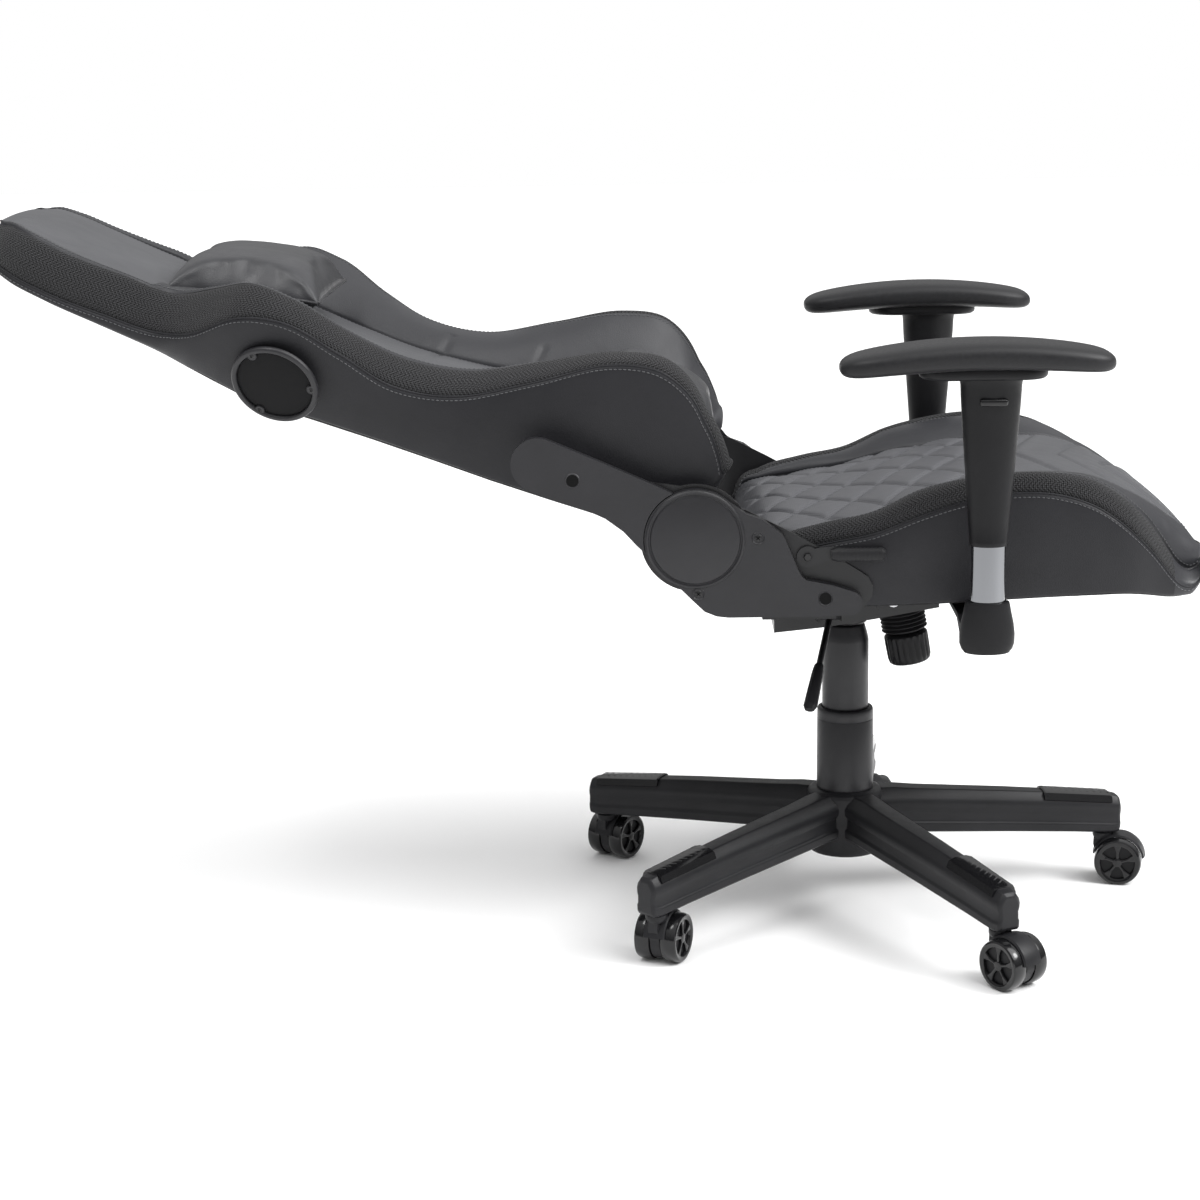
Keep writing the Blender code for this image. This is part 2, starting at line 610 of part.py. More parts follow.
def back_arm(name, side, back):
    """The arm bolted to the back: a disc behind the cover, and a moulded shell along the back."""
    def span(low, high):
        return sorted((side * low, side * high))

    low, high = span(ARM_Y + GAP / 3, COVER_Y - GAP)
    outline = arc((0.0, 0.0), CORE_R, 100.0, 400.0, 24)
    outline += [(0.0400, 0.0800), (0.0180, 0.1500)]
    outline += arc((-0.0100, 0.1880), 0.0270, 20.0, 165.0, 7)
    outline += [(-0.0400, 0.1500), (-0.0440, 0.0900)]
    made = plate(name, outline, low, high, BLACK_PLASTIC, back)
    low, high = span(COVER_Y - 0.001, OUTER_Y - 0.0010)
    shell = arc((0.0, 0.0), DISC_R + 0.0012, 128.0, 52.0, 10)
    shell += [(0.0420, 0.0620), (0.0400, 0.0800), (0.0180, 0.1500)]
    shell += arc((-0.0100, 0.1880), 0.0270, 20.0, 165.0, 7)
    shell += [(-0.0400, 0.1500), (-0.0440, 0.0900), (-0.0420, 0.0560)]
    join(made, plate(f"{name}_shell", shell, low, high, BLACK_PLASTIC, back))
    low, high = span(ARM_Y - 0.001, OUTER_Y + 0.001)
    combine(made, rod(f"{name}_hole", (-0.0080, low, 0.1500), (-0.0080, high, 0.1500), 0.0060, STEEL,
                      back))


def recline_lever(tilt):
    """The release lever on the sitter's right: a steel plate on its stud, with a moulded grip."""
    catch = empty("catch_axis", (CATCH_X, 0.0, CATCH_Z), parent=tilt)
    outline = arc((0.0, 0.0), 0.0120, 60.0, 300.0, 10) + [(0.0250, -0.0040), (0.0480, -0.0035),
                                                        (0.0480, 0.0085), (0.0220, 0.0110)]
    lever = plate("recline_lever", outline, -COVER_Y, -ARM_Y - GAP / 3, BLACK_STEEL, catch)
    combine(lever, rod("catch_bore", (0, -0.27, 0), (0, -0.24, 0), 0.0043, STEEL, catch))
    rings = []
    for x, half in ((0.0262, 0.0052), (0.0300, 0.0070), (0.0560, 0.0072), (0.0820, 0.0068),
                    (0.0860, 0.0045)):
        rings.append([(x, -0.2575 + half * math.cos(math.tau * i / 14),
                       0.0025 + half * 1.05 * math.sin(math.tau * i / 14)) for i in range(14)])
    grip = loft("recline_grip", rings, RUBBER, catch)
    combine(grip, box("grip_slot", (0.0200, -COVER_Y - GAP, -0.0045), (0.0485, -ARM_Y + GAP, 0.0095),
                      STEEL, catch))


# ---------------------------------------------------------------- back, in its own upright axes
BACK_TABLE = (
    # height, rear, side seam, ridge (forward), ridge and side half-widths, centre, rear half-width
    (0.010, -0.010, 0.075, 0.090, 0.200, 0.224, 0.046, 0.212),
    (0.045, -0.022, 0.122, 0.131, 0.200, 0.231, 0.052, 0.216),
    (0.100, -0.031, 0.150, 0.162, 0.200, 0.234, 0.052, 0.216),
    (0.160, -0.039, 0.136, 0.147, 0.197, 0.232, 0.048, 0.210),
    (0.230, -0.048, 0.082, 0.104, 0.188, 0.221, 0.036, 0.200),
    (0.300, -0.055, 0.032, 0.060, 0.180, 0.212, 0.022, 0.192),
    (0.370, -0.061, 0.013, 0.043, 0.185, 0.218, 0.010, 0.192),
    (0.440, -0.067, 0.026, 0.048, 0.208, 0.245, 0.004, 0.198),
    (0.510, -0.074, 0.035, 0.061, 0.236, 0.266, 0.000, 0.203),
    (0.560, -0.072, 0.014, 0.056, 0.233, 0.257, -0.002, 0.198),
    (0.595, -0.072, -0.022, 0.030, 0.198, 0.224, -0.005, 0.184),
    (0.630, -0.072, -0.042, 0.004, 0.166, 0.190, -0.009, 0.168),
    (0.700, -0.071, -0.053, -0.005, 0.158, 0.176, -0.012, 0.160),
    (0.770, -0.069, -0.058, -0.010, 0.154, 0.168, -0.012, 0.154),
    (0.820, -0.063, -0.056, -0.010, 0.140, 0.154, -0.010, 0.140),
    (0.853, -0.046, -0.042, -0.028, 0.104, 0.112, -0.026, 0.102),
)
BACK_RECESS = 0.0200
BACK_SHELL = 0.0040
RECESS_TOP = 0.760
SPEAKER_SLANT = 32.0


def recess_half(rear_width):
    return rear_width - 0.022


def back_ring(row):
    """One cross-section of the back cushion, with the frame's recess in its rear face."""
    z, rear, seam, ridge, ridge_y, side_y, centre, rear_y = row
    depth = BACK_RECESS if z < RECESS_TOP else 0.0005
    inset = recess_half(rear_y)
    out = side_y - rear_y
    half = [(0.0, rear + depth), (inset - 0.0008, rear + depth), (inset, rear),
            (rear_y - 0.006, rear), (rear_y + out * 0.35, rear + (seam - rear) * 0.18),
            (rear_y + out * 0.90, rear + (seam - rear) * 0.70), (side_y, seam),
            ((ridge_y + side_y) / 2 + 0.004, (seam + ridge) / 2 + 0.006), (ridge_y, ridge),
            (ridge_y - 0.022, ridge + (centre - ridge) * 0.35),
            (ridge_y * 0.68, centre + 0.003), (ridge_y * 0.35, centre), (0.0, centre)]
    ring = []
    for y, x in mirrored(half):
        sag = 0.20 * max(0.0, x - 0.020) if z < 0.02 else 0.0
        ring.append((x, y, z - sag))
    return ring


def back(hinge):
    """The back cushion, its rear shell, the steel frame between them, and the pillows."""
    loft("back_cushion", [back_ring(row) for row in BACK_TABLE], LEATHER, hinge)
    shell = []
    for row in BACK_TABLE[:-3]:
        z, rear = row[0], row[1]
        half = recess_half(row[7]) - 0.0012
        shell.append([(rear, -half, z), (rear, half, z), (rear + BACK_SHELL, half, z),
                      (rear + BACK_SHELL, -half, z)])
    loft("back_shell", shell, BLACK_PLASTIC, hinge)
    side = []
    for z in [0.016] + [row[0] for row in BACK_TABLE if 0.02 < row[0] < 0.65]:
        rear = blend(BACK_TABLE, z, 1)
        y = recess_half(blend(BACK_TABLE, z, 7)) - 0.0110
        side.append((rear + 0.0122, y, z))
    top = side[-1]
    bend = [(top[0], top[1] * math.cos(a), top[2] + 0.045 * math.sin(a))
            for a in (math.radians(d) for d in (25, 50, 75, 105, 130, 155))]
    far = [(x, -y, z) for x, y, z in reversed(side)]
    tube("back_frame", side + bend + far, 0.0062, BLACK_STEEL, hinge)
    rod("torsion_tube", (0, -INNER_Y + GAP, 0), (0, INNER_Y - GAP, 0), 0.0065, BLACK_STEEL, hinge)
    pillow("head_pillow", (0.0270, 0.5720), 9.0, 0.135, 0.098, 0.0370, 0.0210, hinge)
    pillow("lumbar_cushion", (0.0880, 0.0860), 0.0, 0.128, 0.082, 0.0440, 0.0300, hinge)
    for name, side_sign in (("right", -1), ("left", 1)):
        speaker(name, side_sign, hinge)


def pillow(name, middle, lean, half_width, half_height, front, rear, hinge):
    """A pillow lying across the back: thick in the middle, thin at its ends and edges."""
    rings = []
    for i in range(11):
        t = -1.0 + 2.0 * i / 10
        fall = max(0.10, (1.0 - abs(t) ** 3.2)) ** 0.5
        high = half_height * (1.0 - 0.12 * abs(t) ** 4)
        ring = []
        for k in range(14):
            a = math.tau * k / 14
            up = math.copysign(abs(math.sin(a)) ** 0.80, math.sin(a))
            out = math.copysign(abs(math.cos(a)) ** 0.80, math.cos(a))
            thick = front if out > 0 else rear
            ring.append((thick * fall * out, t * half_width, high * up))
        rings.append(ring)
    loft(name, rings, LEATHER, hinge, place=(middle[0], 0.0, middle[1]), turn=(0.0, -lean, 0.0))


def speaker(name, side, hinge):
    """The round trim on the shoulder's slanting side: a ring with a dark disc in it."""
    place = (-0.0330, side * 0.2370, 0.4900)
    turn = (-90.0 * side, 0.0, 0.0)
    axis = empty(f"speaker_axis_{name}", place, (0.0, 0.0, side * SPEAKER_SLANT), hinge)
    turned(f"speaker_ring_{name}", [(0.0385, 0.0080), (0.0470, 0.0080), (0.0500, 0.0050),
                                    (0.0500, 0.0020), (0.0385, 0.0020)], BLACK_PLASTIC, axis,
           closed=True, turn=turn)
    turned(f"speaker_disc_{name}", [(0.0, 0.0050), (0.0382, 0.0040), (0.0382, 0.0020), (0.0, 0.0020)],
           GLOSS_PLASTIC, axis, turn=turn)


# ---------------------------------------------------------------- assembly
def main():
    column = empty("column_axis", (COLUMN_X, 0.0, 0.0))
    star_base(column)
    for i, (angle, heading) in enumerate(zip(LEG_ANGLES, CASTER_HEADINGS)):
        caster(i + 1, angle, heading, column)
    gas_lift(column)
    mechanism(column)
    tilt_axis = empty("tilt_axis", (TILT_X, 0.0, TILT_Z), parent=column)
    seat_origin = empty("seat_origin", (-TILT_X, 0.0, -TILT_Z), parent=tilt_axis)
    seat(seat_origin)
    for name, side in (("right", -1), ("left", 1)):
        armrest(name, side, seat_origin)
    hinge = empty("back_hinge", (HINGE_X, 0.0, HINGE_Z), (0.0, -RECLINE, 0.0), seat_origin)
    back(hinge)
    for name, side in (("right", -1), ("left", 1)):
        recliner(name, side, seat_origin, hinge)
    recline_lever(seat_origin)


clear_scene()
PARTS = collection("gaming_chair")
TOOLS = collection("cutters")
main()
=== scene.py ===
"""The look of the reclining gaming chair: covers, cushions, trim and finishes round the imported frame.

The row frame has +X ahead, -Y on the sitter's right and the origin on the floor. Places on the
base, seat and armrests are given from the gas column's axis, and places on the back in its own
upright axes: forward, across and up from the recliner's hinge.
"""

import math

import bmesh
import bpy
import numpy as np
from mathutils import Matrix, Vector


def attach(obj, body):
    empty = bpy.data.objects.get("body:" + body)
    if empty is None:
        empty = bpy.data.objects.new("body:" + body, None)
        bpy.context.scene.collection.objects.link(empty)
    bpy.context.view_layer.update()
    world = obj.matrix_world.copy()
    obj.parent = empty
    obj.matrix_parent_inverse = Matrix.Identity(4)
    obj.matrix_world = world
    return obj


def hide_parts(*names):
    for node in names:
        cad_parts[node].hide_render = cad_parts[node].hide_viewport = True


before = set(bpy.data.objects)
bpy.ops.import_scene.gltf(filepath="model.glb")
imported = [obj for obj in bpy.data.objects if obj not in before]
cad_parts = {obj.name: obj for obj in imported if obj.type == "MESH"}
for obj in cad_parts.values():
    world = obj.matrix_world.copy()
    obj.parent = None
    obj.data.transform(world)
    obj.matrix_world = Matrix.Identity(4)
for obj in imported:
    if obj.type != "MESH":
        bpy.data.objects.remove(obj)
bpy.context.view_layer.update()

# ---------------------------------------------------------------- driving dimensions (metres)
SIDES = (("right", -1), ("left", 1))
COLUMN_X = 0.2930
HINGE_X = -0.186
HINGE_Z = 0.505
RECLINE = math.radians(65.0)
ARM_X = 0.1295
ARM_HALF_Y = 0.308
LEG_ANGLES = (153.2, 225.2, 297.2, 9.2, 81.2)
CASTER_HEADINGS = (54.7, 66.1, -51.5, -14.5, -70.0)
STEM_R = 0.332
HUB_BORE = 0.0255
WHEEL_R = 0.029
WHEEL_Y = 0.0165
WHEEL_W = 0.019
CASTER_TRAIL = 0.0205

FROM_COLUMN = Matrix.Translation((COLUMN_X, 0.0, 0.0))
FROM_BACK = (FROM_COLUMN @ Matrix.Translation((HINGE_X, 0.0, HINGE_Z))
             @ Matrix.Rotation(-RECLINE, 4, "Y"))

# the camera, from the column's foot
CAMERA_PLACE = (-0.2366, -3.0126, 1.0627)
CAMERA_YAW = -0.0201
CAMERA_PITCH = 0.2232
CAMERA_ROLL = -0.0171
CAMERA_LENS = 76.5


# ---------------------------------------------------------------- node materials
class Nodes:
    """Short names for building one material's nodes."""

    def __init__(self, name):
        self.material = bpy.data.materials.new(name)
        self.material.use_nodes = True
        self.tree = self.material.node_tree
        self.shader = self.tree.nodes["Principled BSDF"]

    def put(self, **values):
        for key, value in values.items():
            self.shader.inputs[key.replace("_", " ")].default_value = value
        return self

    def node(self, kind, inputs=(), **settings):
        made = self.tree.nodes.new(kind)
        for key, value in settings.items():
            setattr(made, key, value)
        for key, value in dict(inputs).items():
            self.feed(made.inputs[key], value)
        return made

    def feed(self, socket, value):
        if isinstance(value, bpy.types.NodeSocket):
            self.tree.links.new(value, socket)
        else:
            socket.default_value = value

    def math(self, operation, a, b=0.0, clamp=False):
        return self.node("ShaderNodeMath", {0: a, 1: b}, operation=operation,
                         use_clamp=clamp).outputs[0]

    def place(self, kind="Object"):
        return self.node("ShaderNodeTexCoord").outputs[kind]

    def noise(self, scale, detail=3.0, where=None, roughness=0.5, distortion=0.0):
        made = self.node("ShaderNodeTexNoise", {"Vector": where or self.place(), "Scale": scale,
                                                "Detail": detail, "Roughness": roughness,
                                                "Distortion": distortion})
        return made.outputs["Fac"]

    def grain(self, scale):
        made = self.node("ShaderNodeTexVoronoi", {"Vector": self.place(), "Scale": scale})
        return made.outputs["Distance"]

    def ramp(self, value, low, high, a=0.0, b=1.0):
        return self.node("ShaderNodeMapRange", {"Value": value, "From Min": a, "From Max": b,
                                                "To Min": low, "To Max": high}).outputs["Result"]

    def tint(self, value, dark, light):
        made = self.tree.nodes.new("ShaderNodeMix")
        made.data_type = "RGBA"
        self.feed(made.inputs[0], value)
        made.inputs[6].default_value = (*dark, 1.0)
        made.inputs[7].default_value = (*light, 1.0)
        return made.outputs[2]

    def bump(self, height, strength, distance, normal=None):
        inputs = {"Height": height, "Strength": strength, "Distance": distance}
        if normal is not None:
            inputs["Normal"] = normal
        return self.node("ShaderNodeBump", inputs).outputs["Normal"]

    def finish(self, colour=None, roughness=None, normal=None):
        for key, value in (("Base Color", colour), ("Roughness", roughness), ("Normal", normal)):
            if value is not None:
                self.feed(self.shader.inputs[key], value)
        return self.material


def leather(name, dark, light, rough=0.46, creases=0.5, gloss=0.35):
    """Soft grained upholstery leather, slightly uneven in colour and gloss, creased a little."""
    n = Nodes(name).put(IOR=1.48, Specular_IOR_Level=gloss)
    cells = n.grain(780.0)
    pores = n.noise(1500.0, 2.0)
    folds = n.noise(26.0, 4.0, distortion=0.6)
    patches = n.noise(7.0, 3.0)
    colour = n.tint(n.ramp(patches, 0.0, 1.0, 0.3, 0.7), dark, light)
    rough_map = n.math("ADD", n.ramp(folds, rough - 0.05, rough + 0.07, 0.3, 0.7),
                       n.ramp(pores, -0.03, 0.03, 0.3, 0.7))
    coarse = n.bump(folds, creases, 0.0016)
    fine = n.bump(n.math("ADD", cells, n.math("MULTIPLY", pores, 0.5)), 0.35, 0.00035, coarse)
    return n.finish(colour, rough_map, fine)


MESH_TURN = 0.0072
MESH_PITCH = 0.0048


def spacer_mesh(name):
    """Black spacer-mesh cloth: fine twill lines that turn back and forth, with small open cells."""
    n = Nodes(name).put(IOR=1.45, Sheen_Weight=0.06, Sheen_Roughness=0.45, Specular_IOR_Level=0.3)
    uv = n.node("ShaderNodeSeparateXYZ", {"Vector": n.place("UV")})
    across, along = uv.outputs["X"], uv.outputs["Y"]
    turn = n.math("PINGPONG", across, MESH_TURN)
    line, cross = (n.math("SINE", n.math("MULTIPLY", n.math(way, along, turn), math.tau / MESH_PITCH))
                   for way in ("ADD", "SUBTRACT"))
    cell = n.math("MULTIPLY", line, cross)
    height = n.ramp(n.math("ADD", cell, n.math("MULTIPLY", line, 0.7)), 0.0, 1.0, -1.2, 1.4)
    threads = n.noise(2400.0, 2.0)
    colour = n.tint(height, (0.0005, 0.0005, 0.0006), (0.034, 0.034, 0.037))
    rough_map = n.ramp(height, 0.88, 0.52)
    normal = n.bump(n.math("ADD", height, n.math("MULTIPLY", threads, 0.3)), 1.0, 0.0018)
    return n.finish(colour, rough_map, normal)


def perforated(name, light):
    """Leather with rows of small punched holes."""
    n = Nodes(name).put(IOR=1.48, Specular_IOR_Level=0.40)
    where = n.node("ShaderNodeMapping", {"Vector": n.place("UV"), "Scale": (310.0, 310.0, 1.0),
                                         "Rotation": (0.0, 0.0, math.radians(45.0))})
    dots = n.node("ShaderNodeTexVoronoi", {"Vector": where.outputs[0], "Scale": 1.0,
                                           "Randomness": 0.0}).outputs["Distance"]
    hole = n.ramp(dots, 0.0, 1.0, 0.14, 0.22)
    folds = n.noise(30.0, 4.0, distortion=0.5)
    colour = n.tint(hole, (0.012, 0.012, 0.013), light)
    normal = n.bump(hole, 0.5, 0.0006, n.bump(folds, 0.4, 0.0016))
    return n.finish(colour, n.ramp(folds, 0.42, 0.54, 0.3, 0.7), normal)


def moulded(name, colour, rough, texture=0.00012, gloss=0.0, scale=2200.0, shine=0.22):
    """Moulded plastic with a fine spark-eroded texture and faint handling marks."""
    n = Nodes(name).put(IOR=1.47, Coat_Weight=gloss, Coat_Roughness=0.12,
                        Specular_IOR_Level=shine)
    spark = n.noise(scale, 2.0)
    flow = n.noise(14.0, 3.0)
    wear = n.noise(90.0, 5.0, roughness=0.7)
    shade = n.tint(n.ramp(flow, 0.0, 1.0, 0.3, 0.7), [c * 0.86 for c in colour],
                   [c * 1.16 for c in colour])
    rough_map = n.math("ADD", n.ramp(wear, rough - 0.05, rough + 0.05, 0.3, 0.7),
                       n.ramp(spark, -0.02, 0.02, 0.3, 0.7))
    return n.finish(shade, rough_map, n.bump(spark, 0.45, texture))


def painted_steel(name, colour, rough):
    """Powder-coated steel: fine orange peel under a satin skin."""
    n = Nodes(name).put(IOR=1.5, Coat_Weight=0.10, Coat_Roughness=0.3, Specular_IOR_Level=0.32)
    peel = n.noise(900.0, 2.0)
    flow = n.noise(20.0, 3.0)
    shade = n.tint(flow, [c * 0.9 for c in colour], [c * 1.12 for c in colour])
    return n.finish(shade, n.ramp(flow, rough - 0.05, rough + 0.05, 0.3, 0.7),
                    n.bump(peel, 0.35, 0.00020))


def bright_metal(name, colour, rough, brushed):
    """Chrome or bare steel, with faint turning lines and wipe marks in its gloss."""
    n = Nodes(name).put(Metallic=1.0)
    where = n.node("ShaderNodeMapping", {"Vector": n.place(), "Scale": (1.0, 1.0, brushed)})
    lines = n.noise(160.0, 3.0, where.outputs[0])
    haze = n.noise(18.0, 4.0)
    rough_map = n.math("ADD", n.ramp(haze, rough * 0.7, rough * 1.5, 0.3, 0.7),
                       n.ramp(lines, -0.01, 0.03, 0.3, 0.7), clamp=True)
    shade = n.tint(haze, [c * 0.93 for c in colour], colour)
    return n.finish(shade, rough_map, n.bump(lines, 0.05, 0.00005))


def soft_rubber(name, colour, rough):
    """Soft rubber or foamed skin, dull, with a little dust in its texture."""
    n = Nodes(name).put(IOR=1.5, Sheen_Weight=0.02, Specular_IOR_Level=0.26)
    dust = n.noise(240.0, 4.0, roughness=0.7)
    skin = n.noise(1800.0, 2.0)
    shade = n.tint(n.ramp(dust, 0.0, 1.0, 0.35, 0.7), colour, [c * 1.5 for c in colour])
    return n.finish(shade, n.ramp(dust, rough - 0.05, rough + 0.07, 0.3, 0.7),
                    n.bump(skin, 0.3, 0.00015))


def thread(name, colour):
    """Twisted sewing thread."""
    n = Nodes(name).put(Sheen_Weight=0.3)
    twist = n.noise(2600.0, 1.0)
    return n.finish(n.tint(twist, [c * 0.7 for c in colour], colour), n.ramp(twist, 0.5, 0.8),
                    n.bump(twist, 0.4, 0.0002))


def felt(name, colour):
    """The dark woven lining under the seat and behind the back."""
    n = Nodes(name).put(Sheen_Weight=0.03, Specular_IOR_Level=0.2)
    where = n.node("ShaderNodeMapping", {"Vector": n.place("UV"), "Scale": (900.0, 900.0, 1.0)})
    weave = n.node("ShaderNodeTexBrick", {"Vector": where.outputs[0], "Scale": 1.0,
                                          "Mortar Size": 0.08}).outputs["Fac"]
    fluff = n.noise(900.0, 3.0)
    return n.finish(n.tint(fluff, [c * 0.6 for c in colour], [c * 1.5 for c in colour]),
                    n.ramp(fluff, 0.75, 0.95), n.bump(n.math("SUBTRACT", fluff, weave), 0.5, 0.0003))


M = {
    "side": leather("side_leather", (0.0150, 0.0150, 0.0170), (0.0190, 0.0190, 0.0215),
                    rough=0.44, creases=0.25, gloss=0.20),
    "wing": leather("wing_leather", (0.0240, 0.0243, 0.0272), (0.0300, 0.0304, 0.0338),
                    rough=0.41, creases=0.35, gloss=0.30),
    "centre": leather("centre_leather", (0.0520, 0.0528, 0.0578), (0.0660, 0.0670, 0.0728),
                      rough=0.42, creases=0.45, gloss=0.40),
    "pillow": leather("pillow_leather", (0.0270, 0.0273, 0.0302), (0.0360, 0.0365, 0.0400),
                      rough=0.36, creases=0.65, gloss=0.40),
    "perforated": perforated("perforated_leather", (0.072, 0.073, 0.0795)),
    "mesh": spacer_mesh("spacer_mesh"),
    "piping": leather("piping_leather", (0.020, 0.020, 0.022), (0.032, 0.032, 0.035),
                      rough=0.40, creases=0.2),
    "lining": felt("lining_cloth", (0.005, 0.005, 0.0055)),
    "thread": thread("seam_thread", (0.062, 0.064, 0.069)),
    # Near-black painted shade: laid on the blind holes' floors and the screws' cross slots to stand in
    # for the shade inside them.
    "recess": moulded("recess_painted_shade", (0.0010, 0.0010, 0.0011), 0.85),
    "plastic": moulded("satin_plastic", (0.0065, 0.0065, 0.0074), 0.42),
    "cover": moulded("textured_plastic", (0.0125, 0.0123, 0.0143), 0.40, texture=0.00022,
                     scale=1500.0, shine=0.42),
    "nylon": moulded("base_nylon", (0.0140, 0.0140, 0.0155), 0.38, texture=0.00016),
    "gloss": moulded("gloss_plastic", (0.0055, 0.0055, 0.0062), 0.18, texture=0.00003, gloss=0.4),
    "steel_black": painted_steel("black_steel", (0.010, 0.010, 0.011), 0.36),
    "chrome": bright_metal("chrome_plate", (0.20, 0.205, 0.215), 0.08, 0.15),
    "steel": bright_metal("bare_steel", (0.50, 0.50, 0.52), 0.28, 6.0),
    "rubber": soft_rubber("bellows_rubber", (0.008, 0.008, 0.009), 0.50),
    "pad": soft_rubber("arm_pad_skin", (0.0085, 0.0085, 0.0095), 0.45),
}


# ---------------------------------------------------------------- pieces
def piece(name, mesh, finish, body, place=Matrix.Identity(4), instead=(), also=()):
    """A finished piece: its mesh in the row frame, its material, its body and the CAD it replaces."""
    made = bpy.data.objects.new(name, mesh)
    bpy.context.scene.collection.objects.link(made)
    mesh.transform(place)
    for key in (finish, *also):
        mesh.materials.append(M[key])
    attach(made, body)
    if instead:
        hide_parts(*instead)
    return made


def from_bmesh(bm, name, angle=40.0):
    """A mesh from a bmesh, smooth except at edges sharper than an angle."""
    bmesh.ops.recalc_face_normals(bm, faces=bm.faces)
    mesh = bpy.data.meshes.new(name)
    bm.to_mesh(mesh)
    bm.free()
    mesh.shade_smooth()
    mesh.set_sharp_from_angle(angle=math.radians(angle))
    return mesh


def round_edges(bm, width, segments=3, angle=30.0):
    """Rounds every edge sharper than an angle."""
    edges = [e for e in bm.edges if len(e.link_faces) == 2
             and e.calc_face_angle(0.0) > math.radians(angle)]
    bmesh.ops.bevel(bm, geom=edges, offset=width, segments=segments, affect="EDGES",
                    profile=0.5, clamp_overlap=True)


def bevelled(made, width, angle):
    """Softens a finished piece's edges that are sharper than an angle."""
    edge = made.modifiers.new("Bevel", "BEVEL")
    edge.width = width
    edge.segments = 2
    edge.limit_method = "ANGLE"
    edge.angle_limit = math.radians(angle)


def box(x, y, z):
    """A bmesh box round the origin."""
    bm = bmesh.new()
    bmesh.ops.create_cube(bm, size=1.0)
    bmesh.ops.scale(bm, vec=(x, y, z), verts=bm.verts)
    return bm


def lathe(profile, steps=64, flutes=0, depth=0.0, between=(0.0, 0.0)):
    """A bmesh turned about Z from (radius, height) points, with flutes between two heights."""
    bm = bmesh.new()
    rings = []
    for radius, z in profile:
        if radius < 1e-6:
            rings.append([bm.verts.new((0.0, 0.0, z))])
            continue
        ring = []
        for i in range(steps):
            a = math.tau * i / steps
            r = radius
            if flutes and between[0] <= z <= between[1]:
                r -= depth * (0.5 + 0.5 * math.cos(a * flutes)) ** 2
            ring.append(bm.verts.new((r * math.cos(a), r * math.sin(a), z)))
        rings.append(ring)
    for low, high in zip(rings, rings[1:]):
        for i in range(steps):
            j = (i + 1) % steps
            corners = [low[i % len(low)], low[j % len(low)], high[j % len(high)],
                       high[i % len(high)]]
            corners = list(dict.fromkeys(corners))
            if len(corners) > 2:
                bm.faces.new(corners)
    return bm


def skin(rings, foot=True):
    """A bmesh over closed rings of the same length, closed at the last and, with foot, at the first."""
    bm = bmesh.new()
    loops = [[bm.verts.new(p) for p in ring] for ring in rings]
    for low, high in zip(loops, loops[1:]):
        for i in range(len(low)):
            j = (i + 1) % len(low)
            bm.faces.new((low[i], low[j], high[j], high[i]))
    if foot:
        bm.faces.new(loops[0])
    bm.faces.new(loops[-1])
    return bm


def prism(outline, y_low, y_high):
    """A bmesh from an (x, z) outline between two Y planes."""
    bm = bmesh.new()
    near = [bm.verts.new((x, y_low, z)) for x, z in outline]
    far = [bm.verts.new((x, y_high, z)) for x, z in outline]
    bm.faces.new(near)
    bm.faces.new(far[::-1])
    for i in range(len(outline)):
        j = (i + 1) % len(outline)
        bm.faces.new((near[j], near[i], far[i], far[j]))
    return bm


def arc(centre, radius, start, end, count):
    """Points round a centre between two angles in degrees."""
    return [(centre[0] + radius * math.cos(math.radians(start + (end - start) * i / (count - 1))),
             centre[1] + radius * math.sin(math.radians(start + (end - start) * i / (count - 1))))
            for i in range(count)]


def oval(x_half, y_half, z, count=48):
    """A level ring of points."""
    return [(x_half * math.cos(math.tau * i / count), y_half * math.sin(math.tau * i / count), z)
            for i in range(count)]


def merged(parts):
    """One bmesh from several, each with a place and a material index."""
    whole = bmesh.new()
    for bm, place, index in parts:
        bmesh.ops.transform(bm, matrix=place, verts=bm.verts)
        for face in bm.faces:
            face.material_index = index
        scratch = bpy.data.meshes.new("scratch")
        bm.to_mesh(scratch)
        bm.free()
        whole.from_mesh(scratch)
        bpy.data.meshes.remove(scratch)
    return whole


def screw_head(radius, place):
    """A pan head with a cross recess drawn in painted shade, facing +Z: the parts list for merged()."""
    dome = lathe([(0.0, radius * 0.34), (radius * 0.5, radius * 0.31), (radius * 0.85, radius * 0.18),
                  (radius, 0.0), (radius, -radius * 0.5), (0.0, -radius * 0.5)], 24)
    parts = [(dome, place, 1)]
    # The cross slots: two thin bars on the crown in the near-black painted shade, standing in for the
    # shade inside the recess.
    for turn in (45.0, 135.0):
        lift = (Matrix.Translation((0, 0, radius * 0.34))
                @ Matrix.Rotation(math.radians(turn), 4, "Z"))
        parts.append((box(radius * 1.15, radius * 0.22, radius * 0.10), place @ lift, 2))
    return parts


# ---------------------------------------------------------------- covers
PANEL_KINDS = ("lining", "side", "mesh", "wing", "centre", "wing", "mesh", "side")
SEAM_STEPS = (0.0, 0.0016, 0.0036, 0.0065)
GROOVE_DEPTH = 0.0022
GROOVE_WIDTH = 0.0028
CLOTH_FRAMES = 20
STITCH_PITCH = 0.0052
STITCH_LENGTH = 0.0036
STITCH_RADIUS = 0.00055


